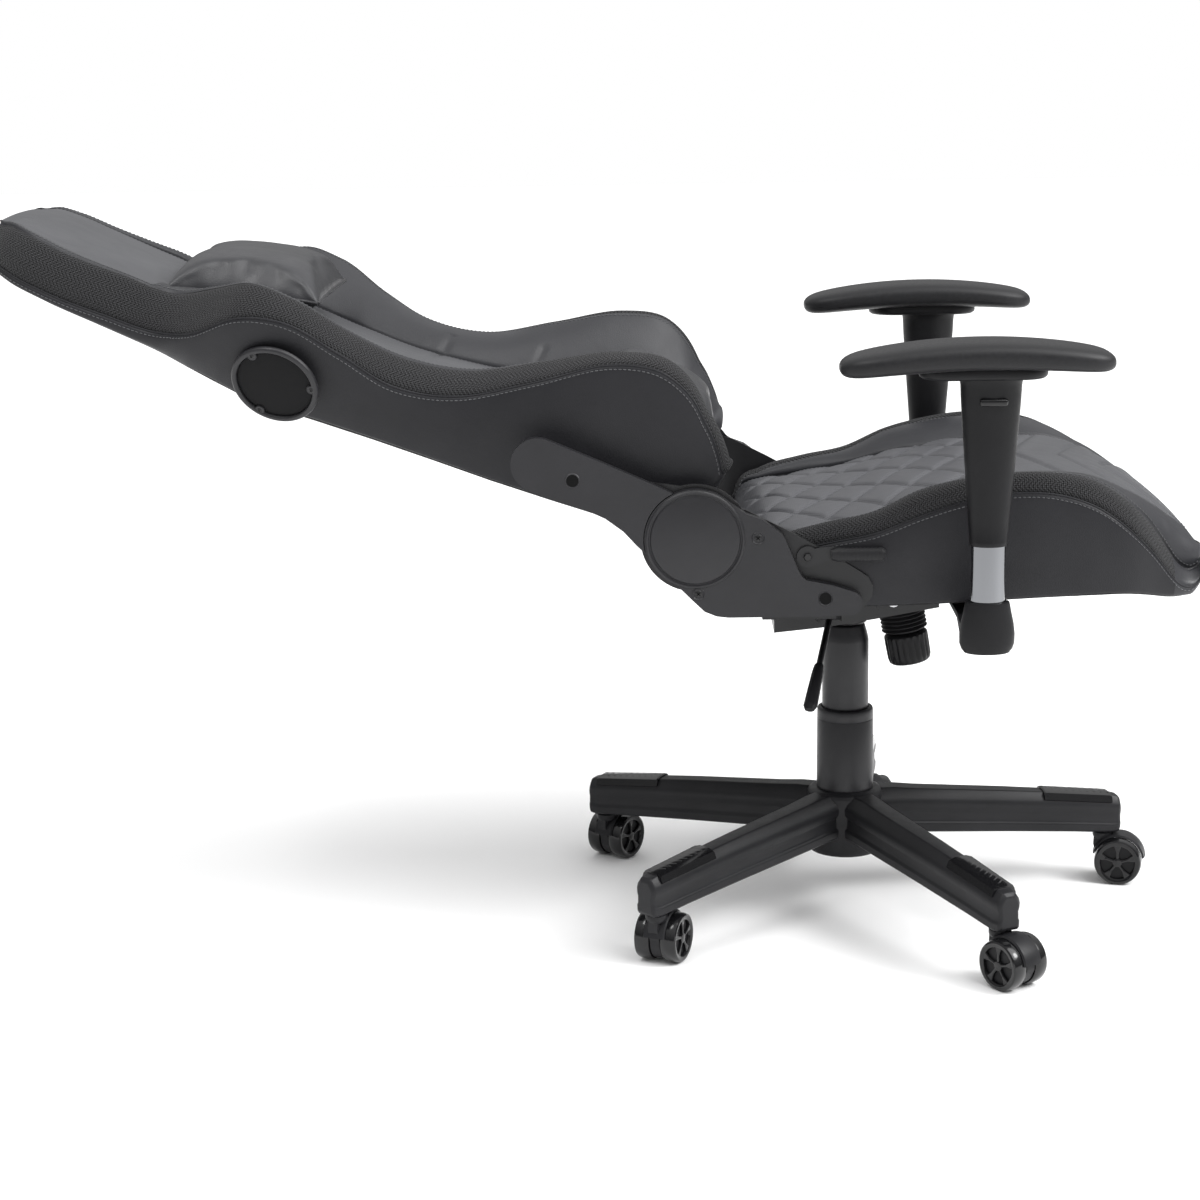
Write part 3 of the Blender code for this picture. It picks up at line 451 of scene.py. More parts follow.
def hermite(keys, values, at):
    """A smooth curve through values at keys, read at each of at. Values may be rows of numbers."""
    keys, values, at = (np.asarray(a, float) for a in (keys, values, at))
    steps = np.diff(keys)
    shape = (-1,) + (1,) * (values.ndim - 1)
    slopes = np.diff(values, axis=0) / steps.reshape(shape)
    tangents = np.empty_like(values)
    tangents[0], tangents[-1] = slopes[0], slopes[-1]
    weight = (steps[1:] / (steps[:-1] + steps[1:])).reshape(shape)
    tangents[1:-1] = slopes[:-1] * weight + slopes[1:] * (1 - weight)
    i = np.clip(np.searchsorted(keys, at, side="right") - 1, 0, len(keys) - 2)
    h = steps[i].reshape(shape)
    t = ((at - keys[i]) / steps[i]).reshape(shape)
    return ((2 * t ** 3 - 3 * t ** 2 + 1) * values[i] + (t ** 3 - 2 * t ** 2 + t) * h * tangents[i]
            + (3 * t ** 2 - 2 * t ** 3) * values[i + 1] + (t ** 3 - t ** 2) * h * tangents[i + 1])


def bowed(a, b, bulge, count):
    """Points from a to b, bowed outwards by bulge at the middle, for sections walked anticlockwise."""
    a, b = np.array(a, float), np.array(b, float)
    t = np.linspace(0.0, 1.0, count + 1)[:, None]
    chord = b - a
    length = max(np.linalg.norm(chord), 1e-9)
    out = np.array([chord[1], -chord[0]]) / length
    return a + chord * t + out * bulge * 4.0 * t * (1.0 - t)


def running(steps):
    """The running total of some steps, from zero."""
    return np.concatenate([[0.0], np.cumsum(steps)])


def blown(mesh, start, limit, held=(), **settings):
    """A mesh's points after air pressure moves it as cloth, at most limit from where they start."""
    made = bpy.data.objects.new(mesh.name + "_cloth", mesh)
    bpy.context.scene.collection.objects.link(made)
    cloth = made.modifiers.new("Cloth", "CLOTH")
    if held:
        made.vertex_groups.new(name="held").add(held, 1.0, "REPLACE")
        cloth.settings.vertex_group_mass = "held"
    for key, value in settings.items():
        setattr(cloth.settings, key, value)
    cloth.settings.use_pressure = True
    cloth.settings.effector_weights.gravity = 0.0
    cloth.collision_settings.use_collision = False
    for number in range(1, CLOTH_FRAMES + 1):
        bpy.context.scene.frame_set(number)
    out = made.evaluated_get(bpy.context.evaluated_depsgraph_get()).to_mesh()
    points = np.empty(len(out.vertices) * 3)
    out.vertices.foreach_get("co", points)
    bpy.data.objects.remove(made)
    bpy.context.scene.frame_set(1)
    moved = points.reshape(-1, 3) - start
    length = np.linalg.norm(moved, axis=1, keepdims=True)
    return start + moved * np.minimum(1.0, limit / np.maximum(length, 1e-9))


class Cover:
    """A sewn cover: rings of panels between seams along a row of stations, closed at both ends.

    grid is rows x columns x 3; seams are the columns where panels meet."""

    def __init__(self, name, grid, seams, place):
        self.name, self.grid, self.seams, self.place = name, grid, seams, place

    def columns(self, panel):
        """A panel's columns, from its first seam to its last."""
        count = self.grid.shape[1]
        last = self.seams[panel + 1] if panel + 1 < len(self.seams) else self.seams[0] + count
        return [c % count for c in range(self.seams[panel], last + 1)]

    def mesh(self):
        rows, cols, _ = self.grid.shape
        index = np.arange(rows * cols).reshape(rows, cols)
        nxt = np.roll(index, -1, axis=1)
        faces = np.stack([index[:-1], nxt[:-1], nxt[1:], index[1:]], axis=-1).reshape(-1, 4)
        made = bpy.data.meshes.new(self.name)
        made.from_pydata(self.grid.reshape(-1, 3).tolist(), [], faces.tolist())
        return made

    def swell(self, limit):
        """Lets air pressure push the panels out between their held seams, then keeps the result."""
        rows, cols, _ = self.grid.shape
        index = np.arange(rows * cols).reshape(rows, cols)
        still = self.seams + self.columns(PANEL_KINDS.index("lining"))
        held = {*index[[0, 1, -2, -1]].ravel().tolist(), *index[:, still].ravel().tolist()}
        mesh = self.mesh()
        swollen = blown(mesh, self.grid.reshape(-1, 3), limit, sorted(held), quality=4, mass=0.25,
                        tension_stiffness=15.0, compression_stiffness=15.0, shear_stiffness=7.5,
                        bending_stiffness=0.6, uniform_pressure_force=4.0)
        bpy.data.meshes.remove(mesh)
        self.grid = swollen.reshape(rows, cols, 3)

    def refine(self, row_step, col_step):
        """A finer grid, with columns crowded beside each seam."""
        along = running(np.linalg.norm(np.diff(self.grid, axis=0), axis=2).max(axis=1))
        fine_rows = np.linspace(0.0, along[-1], int(along[-1] / row_step) + 1)
        tall = hermite(along, self.grid, fine_rows)
        panels, seams, at = [], [], 0
        for p in range(len(self.seams)):
            part = tall[:, self.columns(p)]
            across = running(np.linalg.norm(np.diff(part, axis=1), axis=2).max(axis=0))
            total = across[-1]
            edge = [c for c in SEAM_STEPS if c < total * 0.4]
            inner = np.linspace(edge[-1], total - edge[-1],
                                max(2, int((total - 2 * edge[-1]) / col_step) + 1))
            marks = np.array(edge[:-1] + inner.tolist() + [total - e for e in reversed(edge[1:-1])])
            fine = hermite(across, part.transpose(1, 0, 2), marks).transpose(1, 0, 2)
            panels.append(fine)
            seams.append(at)
            at += fine.shape[1]
        self.grid = np.concatenate(panels, axis=1)
        self.seams = seams
        self.along = fine_rows

    def normals(self):
        grid = self.grid
        down = np.gradient(grid, axis=0)
        across = np.roll(grid, -1, axis=1) - np.roll(grid, 1, axis=1)
        out = np.cross(across, down)
        return out / np.maximum(np.linalg.norm(out, axis=2, keepdims=True), 1e-12)

    def distance(self, seam):
        """Distance of every point from one seam's column, across the rows' panels."""
        cols = self.grid.shape[1]
        step = np.linalg.norm(np.roll(self.grid, -1, axis=1) - self.grid, axis=2)
        out = np.full(self.grid.shape[:2], 1.0)
        for sign in (1, -1):
            reach = np.zeros(self.grid.shape[0])
            for k in range(cols // 2):
                c = (seam + sign * k) % cols
                out[:, c] = np.minimum(out[:, c], reach)
                reach = reach + (step[:, c] if sign > 0 else step[:, (c - 1) % cols])
                if reach.min() > 0.05:
                    break
        return out

    def push(self, amount):
        """Moves every point along its normal."""
        self.grid = self.grid + self.normals() * amount[..., None]

    def groove(self):
        """Draws the cover in along its seams."""
        amount = np.zeros(self.grid.shape[:2])
        for seam in self.seams:
            drawn = GROOVE_DEPTH * np.exp(-(self.distance(seam) / GROOVE_WIDTH) ** 2)
            amount = np.minimum(amount, -drawn)
        self.push(amount)

    def path(self, panel, offset, rows):
        """Points and normals along a panel, offset from its first seam, or from its last if negative."""
        columns = self.columns(panel)
        if offset < 0:
            columns = columns[::-1]
        part, normal = self.grid[:, columns], self.normals()[:, columns]
        points, ups = [], []
        for r in range(*rows):
            across = running(np.linalg.norm(np.diff(part[r], axis=0), axis=1))
            k = min(np.searchsorted(across, abs(offset)), len(across) - 1)
            t = (abs(offset) - across[k - 1]) / max(across[k] - across[k - 1], 1e-9)
            points.append(part[r, k - 1] * (1 - t) + part[r, k] * t)
            ups.append(normal[r, k - 1] * (1 - t) + normal[r, k] * t)
        return np.array(points), np.array(ups)

    def build(self, body, instead, extra=()):
        """The finished cover, with its panels' own leathers and a UV in metres along and across."""
        mesh = self.mesh()
        rows, cols, _ = self.grid.shape
        keys = list(dict.fromkeys(PANEL_KINDS))
        step = np.linalg.norm(np.roll(self.grid, -1, axis=1) - self.grid, axis=2)
        left, right = np.empty((rows, cols)), np.empty((rows, cols))
        kind_of = [0] * cols
        for panel, kind in enumerate(PANEL_KINDS):
            reach = np.zeros(rows)
            for c in self.columns(panel)[:-1]:
                kind_of[c] = keys.index(kind)
                left[:, c] = reach
                reach = reach + step[:, c]
                right[:, c] = reach
        low, high = self.along[:-1], self.along[1:]
        u = np.stack([left[:-1], right[:-1], right[1:], left[1:]], axis=-1)
        v = np.broadcast_to(np.stack([low, low, high, high], axis=-1)[:, None, :], u.shape)
        uv = mesh.uv_layers.new(name="UVMap")
        uv.data.foreach_set("uv", np.stack([u, v], axis=-1).reshape(-1).astype(np.float32))
        bm = bmesh.new()
        bm.from_mesh(mesh)
        for k, face in enumerate(bm.faces):
            face.material_index = kind_of[k % cols]
            face.smooth = True
        bm.verts.ensure_lookup_table()
        for row in (0, rows - 1):
            loop = [bm.verts[row * cols + c] for c in range(cols)]
            cap = bm.faces.new(loop if row else loop[::-1])
            cap.material_index = keys.index("centre")
        bm.to_mesh(mesh)
        bm.free()
        made = piece(self.name, mesh, keys[0], body, self.place, instead, [*keys[1:], *extra])
        return made


def stitches(name, runs, body, place):
    """Top-stitching: short raised threads along each run of (points, normals)."""
    verts, faces = [], []
    for points, ups in runs:
        along = running(np.linalg.norm(np.diff(points, axis=0), axis=1))
        for k in range(int(along[-1] / STITCH_PITCH)):
            start = k * STITCH_PITCH
            ends = np.array([[np.interp(s, along, points[:, a]) for a in range(3)] for s in
                             (start, start + STITCH_LENGTH * 0.5, start + STITCH_LENGTH)])
            up = np.array([np.interp(start, along, ups[:, a]) for a in range(3)])
            up /= max(np.linalg.norm(up), 1e-9)
            forward = ends[2] - ends[0]
            forward /= max(np.linalg.norm(forward), 1e-9)
            side = np.cross(up, forward)
            base = len(verts)
            for centre, share, lift in zip(ends, (0.45, 1.0, 0.45), (0.0, 0.55, 0.0)):
                for q in range(6):
                    a = math.tau * q / 6
                    rim = math.cos(a) * side + math.sin(a) * up
                    verts.append(centre + STITCH_RADIUS * share * rim + up * STITCH_RADIUS * lift)
            for ring in range(2):
                for q in range(6):
                    a, b = base + ring * 6 + q, base + ring * 6 + (q + 1) % 6
                    faces.append((a, b, b + 6, a + 6))
            faces.append(tuple(base + q for q in range(5, -1, -1)))
            faces.append(tuple(base + 12 + q for q in range(6)))
    mesh = bpy.data.meshes.new(name)
    mesh.from_pydata(verts, [], faces)
    mesh.shade_smooth()
    return piece(name, mesh, "thread", body, place)


def piping(name, points, radius, body, place, finish):
    """A thin sewn cord along points."""
    curve = bpy.data.curves.new(name, "CURVE")
    curve.dimensions = "3D"
    curve.bevel_depth = radius
    curve.bevel_resolution = 3
    curve.use_fill_caps = True
    spline = curve.splines.new("POLY")
    spline.points.add(len(points) - 1)
    for point, p in zip(spline.points, points):
        point.co = (*p, 1.0)
    scratch = bpy.data.objects.new(name, curve)
    bpy.context.scene.collection.objects.link(scratch)
    graph = bpy.context.evaluated_depsgraph_get()
    mesh = bpy.data.meshes.new_from_object(scratch.evaluated_get(graph))
    bpy.data.objects.remove(scratch)
    bpy.data.curves.remove(curve)
    mesh.shade_smooth()
    return piece(name, mesh, finish, body, place)


# ---------------------------------------------------------------- the back's cover
# height up the back, rear, side seam, ridge, ridge and side half-widths, centre, rear half-width
BACK = np.array((
    (0.010, -0.010, 0.075, 0.090, 0.200, 0.224, 0.046, 0.212),
    (0.045, -0.022, 0.122, 0.131, 0.200, 0.231, 0.052, 0.216),
    (0.100, -0.031, 0.150, 0.162, 0.200, 0.234, 0.052, 0.216),
    (0.160, -0.039, 0.136, 0.147, 0.197, 0.232, 0.048, 0.210),
    (0.230, -0.048, 0.082, 0.104, 0.188, 0.221, 0.036, 0.200),
    (0.300, -0.055, 0.032, 0.060, 0.180, 0.212, 0.022, 0.192),
    (0.370, -0.061, 0.013, 0.043, 0.185, 0.218, 0.010, 0.192),
    (0.440, -0.067, 0.026, 0.048, 0.208, 0.245, 0.004, 0.198),
    (0.510, -0.074, 0.035, 0.061, 0.236, 0.266, 0.000, 0.203),
    (0.560, -0.072, 0.014, 0.056, 0.233, 0.257, -0.002, 0.198),
    (0.595, -0.072, -0.022, 0.030, 0.198, 0.224, -0.005, 0.184),
    (0.630, -0.072, -0.042, 0.004, 0.166, 0.190, -0.009, 0.168),
    (0.700, -0.071, -0.053, -0.005, 0.158, 0.176, -0.012, 0.160),
    (0.770, -0.069, -0.058, -0.010, 0.154, 0.168, -0.012, 0.154),
    (0.820, -0.066, -0.057, -0.010, 0.140, 0.154, -0.011, 0.140),
    (0.840, -0.062, -0.055, -0.012, 0.124, 0.138, -0.012, 0.124),
    (0.853, -0.056, -0.050, -0.018, 0.106, 0.119, -0.018, 0.106),
))
BACK_STATIONS = 100
BACK_CREASES = (0.660, 0.355, 0.245)
HEAD_START = 0.62


def both_sides(half, bulges, counts):
    """A whole section, from its half's seams, walked anticlockwise with each panel bowed."""
    corners = [(-half[0][0], half[0][1])] + half + [(-y, z) for y, z in reversed(half[1:])]
    corners.append(corners[0])
    order = [*bulges, *bulges[-2:0:-1]]
    sizes = [*counts, *counts[-2:0:-1]]
    points, seams = [], []
    for a, b, bulge, count in zip(corners, corners[1:], order, sizes):
        seams.append(len(points))
        points += bowed(a, b, bulge, count)[:-1].tolist()
    return np.array(points), seams


def rounded_end(ring, axis, depth, squeeze, steps=5):
    """Rings that close an end: each steps on along the axis and draws in towards the middle."""
    middle = ring.mean(axis=0)
    out = []
    for k in range(1, steps + 1):
        a = math.radians(88.0 * k / steps)
        share = 1.0 - squeeze * (1.0 - math.cos(a))
        moved = middle + (ring - middle) * share
        moved[:, axis] = ring[:, axis] + depth * math.sin(a)
        out.append(moved)
    return out


def sewing(cover, body, wing_inset, centre_inset, stitched, folded):
    """Top-stitching beside a cover's seams, and a folded cord along each mesh band.

    stitched and folded are how many rows each leaves free at the cover's two ends."""
    rows = cover.grid.shape[0]
    insets = ((1, -0.0060), (7, 0.0060), (3, wing_inset), (5, -wing_inset), (4, centre_inset),
              (4, -centre_inset))
    runs = [cover.path(panel, inset, (stitched[0], rows - stitched[1])) for panel, inset in insets]
    stitches(f"{body}_top_stitching", runs, body, cover.place)
    for name, panel in (("left", 2), ("right", 7)):
        points, ups = cover.path(panel, 0.0008, (folded[0], rows - folded[1]))
        piping(f"{body}_seam_fold_{name}", (points + ups * 0.0003)[::2], 0.0011, body, cover.place,
               "side")


def back_cover():
    """The back's cover, from the head to the foot, with creases sewn across its front."""
    heights = np.linspace(BACK[-1, 0], BACK[0, 0], BACK_STATIONS)
    table = hermite(BACK[:, 0], BACK[:, 1:], heights)
    rings = []
    for z, (rear, seam, ridge, ridge_y, side_y, centre, rear_y) in zip(heights, table):
        valley = ridge_y * (0.66 + 0.24 * min(1.0, max(0.0, (z - HEAD_START) / 0.06)))
        half = [(rear_y, rear + 0.004), (side_y, seam), (ridge_y, ridge), (valley, centre + 0.002)]
        flat = 0.35 if z > HEAD_START + 0.04 else 1.0
        section, seams = both_sides(half, (0.001, 0.007, 0.0045, 0.008 * flat, 0.004),
                                    (24, 10, 5, 8, 24))
        sag = 0.20 * np.maximum(0.0, section[:, 1] - 0.020) * max(0.0, (0.045 - z) / 0.035)
        rings.append(np.stack([section[:, 1], section[:, 0], z - sag], axis=1))
    top = rounded_end(rings[0], 2, 0.010, 0.45)
    foot = rounded_end(rings[-1], 2, -0.008, 0.30)
    cover = Cover("back_cover", np.array(top[::-1] + rings + foot), seams, FROM_BACK)
    cover.swell(0.0065)
    cover.refine(0.0042, 0.0048)
    cover.groove()
    ahead, across, up = cover.grid[:, :, 0], np.abs(cover.grid[:, :, 1]), cover.grid[:, :, 2]
    front = (ahead > -0.03) & (across < 0.15)
    creases = [np.exp(-(((up - level + 0.10 * across) / 0.0032) ** 2)) for level in BACK_CREASES]
    cover.push(-0.0024 * sum(creases) * front)
    cover.build("back", ["back_cushion"])
    sewing(cover, "back", 0.0058, 0.0050, (18, 16), (4, 4))


# ---------------------------------------------------------------- the seat's cover
# x, cushion underside, side seam, ridge, centre, half-width at the side
SEAT = np.array((
    (-0.132, 0.4240, 0.4500, 0.4600, 0.4600, 0.222),
    (-0.122, 0.4190, 0.4680, 0.4800, 0.4780, 0.234),
    (-0.095, 0.4170, 0.4820, 0.4960, 0.4890, 0.243),
    (-0.040, 0.4170, 0.4960, 0.5130, 0.4990, 0.245),
    (0.015, 0.4180, 0.5070, 0.5240, 0.5120, 0.246),
    (0.065, 0.4190, 0.5260, 0.5480, 0.5290, 0.246),
    (0.110, 0.4210, 0.5400, 0.5590, 0.5400, 0.246),
    (0.170, 0.4240, 0.5500, 0.5660, 0.5480, 0.246),
    (0.215, 0.4260, 0.5470, 0.5650, 0.5510, 0.246),
    (0.260, 0.4270, 0.5310, 0.5560, 0.5500, 0.244),
    (0.300, 0.4260, 0.5010, 0.5300, 0.5380, 0.236),
    (0.328, 0.4210, 0.4720, 0.5010, 0.5230, 0.222),
    (0.346, 0.4170, 0.4490, 0.4760, 0.5120, 0.212),
    (0.362, 0.4160, 0.4330, 0.4540, 0.5010, 0.204),
    (0.382, 0.4230, 0.4350, 0.4450, 0.4820, 0.194),
    (0.392, 0.4440, 0.4480, 0.4520, 0.4620, 0.186),
))
SEAT_STATIONS = 64
DIAMOND_LONG = 0.066
DIAMOND_WIDE = 0.096
QUILT_FRONT = 0.140
CROSS_LINES = (0.193, 0.2495, 0.304)
CHEVRON = 0.33
NOSE_START = 0.352


def quilting(x, y):
    """How far the diamonds puff out between their creases, up to the quilt's slanting front edge."""
    a = x / DIAMOND_LONG + y / DIAMOND_WIDE
    b = x / DIAMOND_LONG - y / DIAMOND_WIDE
    near_a, near_b = (np.abs(c - np.round(c)) * DIAMOND_LONG * 0.8 for c in (a, b))
    crease = -0.0030 * np.exp(-(np.minimum(near_a, near_b) / 0.0028) ** 2)
    puff = 0.0034 * np.sqrt(np.abs(np.sin(math.pi * a) * np.sin(math.pi * b)))
    edge = np.clip((QUILT_FRONT + CHEVRON * np.abs(y) - x) / 0.010, 0.0, 1.0)
    return (crease + puff) * (edge * np.clip((x + 0.120) / 0.02, 0.0, 1.0))


def chevrons(x, y):
    """How far the slanting lines ahead of the quilt draw in, each with a low roll in front of it."""
    depth = np.zeros(x.shape)
    for start in CROSS_LINES:
        off = x - (start + CHEVRON * np.abs(y))
        depth += (-0.0030 * np.exp(-(off / 0.0030) ** 2)
                  + 0.0012 * np.exp(-((off - 0.012) / 0.008) ** 2))
    return depth * np.clip((0.152 - np.abs(y)) / 0.01, 0.0, 1.0)


def repaint_seat(made, cover):
    """Perforated leather on the quilted stretch, and one plain leather round the front roll."""
    keys = list(dict.fromkeys(PANEL_KINDS))
    rows, cols, _ = cover.grid.shape
    for face in made.data.polygons:
        x, y, _ = cover.grid[min(face.index // cols, rows - 1), face.index % cols]
        key = keys[face.material_index]
        if key == "centre" and x < QUILT_FRONT + CHEVRON * abs(y):
            face.material_index = len(keys)
        elif key in ("side", "mesh") and x > NOSE_START:
            face.material_index = keys.index("wing")


def seat_cover():
    """The seat's cover, from heel to nose, with its quilt and the slanting lines ahead of it."""
    stations = np.linspace(SEAT[0, 0], SEAT[-1, 0], SEAT_STATIONS)
    table = hermite(SEAT[:, 0], SEAT[:, 1:], stations)
    rings = []
    for x, (low, seam, ridge, centre, wide) in zip(stations, table):
        crest = min(wide - 0.030, 0.215)
        valley = float(np.interp(x, (-0.12, -0.04, 0.0, 0.06, 0.11, 0.33, 0.39),
                                 (0.205, 0.200, 0.192, 0.172, 0.155, 0.152, 0.130)))
        sides = float(np.interp(x, (0.24, 0.33), (0.006, 0.002)))
        band = float(np.interp(x, (0.30, 0.35), (0.010, 0.004)))
        wing = float(np.interp(x, (0.30, 0.35), (0.005, 0.014)))
        half = [(wide - 0.010, low + 0.002), (wide, seam), (crest, ridge), (valley, centre - 0.002)]
        section, seams = both_sides(half, (0.0005, sides, band, wing, 0.003),
                                    (26, 8, 5, 7, 28))
        rings.append(np.stack([np.full(len(section), x), section[:, 0], section[:, 1]], axis=1))
    heel = rounded_end(rings[0], 0, -0.007, 0.25)
    nose = rounded_end(rings[-1], 0, 0.004, 0.45)
    cover = Cover("seat_cover", np.array(heel[::-1] + rings + nose), seams, FROM_COLUMN)
    cover.swell(0.0060)
    cover.refine(0.0034, 0.0034)
    cover.groove()
    x, y, z = cover.grid[:, :, 0], cover.grid[:, :, 1], cover.grid[:, :, 2]
    centre_panel = np.zeros(x.shape[1], bool)
    centre_panel[cover.columns(PANEL_KINDS.index("centre"))] = True
    cover.push((quilting(x, y) + chevrons(x, y)) * (centre_panel[None, :] & (z > 0.44)))
    made = cover.build("seat", ["seat_cushion"], ["perforated"])
    repaint_seat(made, cover)
    sewing(cover, "seat", 0.0055, 0.0045, (8, 26), (4, 20))


# ---------------------------------------------------------------- loose cushions
CUSHION_CELLS = (54, 40)


def two_sheets(half_width, half_height, front, rear):
    """A bmesh of two domed sheets that share their edge, and the edge's points in order."""
    n, m = CUSHION_CELLS
    bm = bmesh.new()
    rim = {}
    for sheet, depth in ((1, front), (-1, rear)):
        rows = []
        for i in range(n + 1):
            s = math.sin(math.pi / 2 * (-1.0 + 2.0 * i / n))
            row = []
            for k in range(m + 1):
                t = math.sin(math.pi / 2 * (-1.0 + 2.0 * k / m))
                full = max(0.0, (1.0 - s ** 4) * (1.0 - abs(t) ** 2.6)) ** 0.50
                y = half_width * s * (1.0 - 0.055 * (1.0 - t * t))
                z = half_height * t * (1.0 - 0.075 * (1.0 - s * s)) * (1.0 - 0.05 * s * s)
                if i in (0, n) or k in (0, m):
                    if (i, k) not in rim:
                        rim[i, k] = bm.verts.new((0.0, y, z))
                    row.append(rim[i, k])
                else:
                    gather = 0.0030 * abs(s) ** 5 * math.sin(17.0 * t + 2.0 * s) * full
                    row.append(bm.verts.new((sheet * depth * 0.86 * full + gather, y, z)))
            rows.append(row)
        for i in range(n):
            for k in range(m):
                corners = [rows[i][k], rows[i + 1][k], rows[i + 1][k + 1], rows[i][k + 1]]
                bm.faces.new(corners if sheet > 0 else corners[::-1])
    order = [(i, 0) for i in range(n)] + [(n, k) for k in range(m)]
    order += [(i, m) for i in range(n, 0, -1)] + [(0, k) for k in range(m, 0, -1)]
    bm.verts.index_update()
    return bm, [rim[key].index for key in order]


def cushion(name, centre, lean, half_width, half_height, front, rear, node):
    """A stuffed cushion: two sheets sewn round their edge, filled until they pull into folds."""
    place = (FROM_BACK @ Matrix.Translation((centre[0], 0.0, centre[1]))
             @ Matrix.Rotation(-lean, 4, "Y"))
    bm, edge = two_sheets(half_width, half_height, front, rear)
    mesh = bpy.data.meshes.new(name)
    bm.to_mesh(mesh)
    bm.free()
    after = blown(mesh, np.array([v.co for v in mesh.vertices]), 0.007, quality=5, mass=0.2,
                  tension_stiffness=12.0, compression_stiffness=12.0, bending_stiffness=0.15,
                  uniform_pressure_force=5.0, shrink_min=-0.012)
    limit = np.array([1.0, half_width * 1.02, half_height * 1.02])
    after = np.clip(after, -limit, limit)
    after[:, 0] = np.clip(after[:, 0], -rear, front * 1.25)
    mesh.vertices.foreach_set("co", after.ravel())
    mesh.uv_layers.new(name="UVMap")
    for loop in mesh.loops:
        p = mesh.vertices[loop.vertex_index].co
        mesh.uv_layers[0].data[loop.index].uv = (p.y, p.z)
    mesh.shade_smooth()
    made = piece(name, mesh, "pillow", "back", place, [node])
    soft = made.modifiers.new("Subdivision", "SUBSURF")
    soft.levels = 1
    soft.render_levels = 1
    inverse = place.inverted()
    loop = [inverse @ made.data.vertices[k].co for k in (*edge, edge[0])]
    piping(f"{name}_edge_piping", loop, 0.0022, "back", place, "piping")


# ---------------------------------------------------------------- base and casters
def star_base():
    """The moulded base: a hub with a rim and five tapered legs with recessed flanks."""
    parts = []
    hub = lathe([(HUB_BORE, 0.142), (0.036, 0.142), (0.0395, 0.1416), (0.0440, 0.1392),
                 (0.0460, 0.1360), (0.0462, 0.070), (0.0450, 0.0650), (0.0430, 0.0622),
                 (HUB_BORE, 0.062), (HUB_BORE, 0.142)], 96)
    bmesh.ops.remove_doubles(hub, verts=hub.verts, dist=0.00001)
    parts.append((hub, FROM_COLUMN, 0))
    for angle in LEG_ANGLES:
        rings = []
        for r, half, low, high in ((0.030, 0.0250, 0.0860, 0.1395), (0.060, 0.0228, 0.0835, 0.1385),
                                   (0.090, 0.0215, 0.0810, 0.1350), (0.200, 0.0195, 0.0740, 0.1255),
                                   (0.290, 0.0178, 0.0675, 0.1165), (0.338, 0.0168, 0.0632, 0.1112),
                                   (0.348, 0.0150, 0.0640, 0.1085), (0.351, 0.0115, 0.0680, 0.1040)):
            tall = high - low
            half_ring = [(half * 0.80, low), (half * 0.97, low + tall * 0.05),
                         (half * 0.99, low + tall * 0.22), (half * 0.90, low + tall * 0.28),
                         (half * 0.88, low + tall * 0.50), (half * 0.97, low + tall * 0.58),
                         (half, low + tall * 0.70), (half * 0.90, low + tall * 0.82),
                         (half * 0.52, high), (half * 0.40, high + 0.0004)]
            ring = half_ring + [(-y, z) for y, z in reversed(half_ring)]
            rings.append([(r, y, z) for y, z in ring])
        leg = skin(rings)
        bmesh.ops.recalc_face_normals(leg, faces=leg.faces)
        turn = Matrix.Rotation(math.radians(angle), 4, "Z")
        parts.append((leg, FROM_COLUMN @ turn, 0))
    mesh = from_bmesh(merged(parts), "base_star", 28.0)
    made = piece("base_star", mesh, "nylon", "base", instead=["star_base"])
    bevelled(made, 0.0010, 26.0)


def leg_treads():
    """The glossy foot treads near each leg's end, with slanting raised ribs."""
    parts = []
    for angle in LEG_ANGLES:
        turn = FROM_COLUMN @ Matrix.Rotation(math.radians(angle), 4, "Z")
        rings = []
        for r, grow in ((0.2500, 0.0), (0.2515, 1.0), (0.3350, 1.0), (0.3380, 0.0)):
            top = 0.1212 - (r - 0.25) * 0.1075
            half = 0.0182 - (r - 0.25) * 0.020
            lift = 0.0014 * grow
            rings.append([(r, -half, top - 0.0085), (r, -half * 0.84, top - 0.0015 + lift),
                          (r, -half * 0.40, top + 0.0012 + lift), (r, half * 0.40, top + 0.0012 + lift),
                          (r, half * 0.84, top - 0.0015 + lift), (r, half, top - 0.0085)])
        parts.append((skin(rings), turn, 0))
        for k in range(9):
            rib = box(0.0034, 0.0200, 0.0032)
            round_edges(rib, 0.0008, 2)
            r = 0.2580 + k * 0.0089
            place = (Matrix.Translation((r, 0.0, 0.1222 - (r - 0.25) * 0.1075))
                     @ Matrix.Rotation(0.107, 4, "Y") @ Matrix.Rotation(math.radians(38.0), 4, "Z"))
            parts.append((rib, turn @ place, 0))
    mesh = from_bmesh(merged(parts), "leg_treads", 35.0)
    piece("leg_treads", mesh, "gloss", "base")


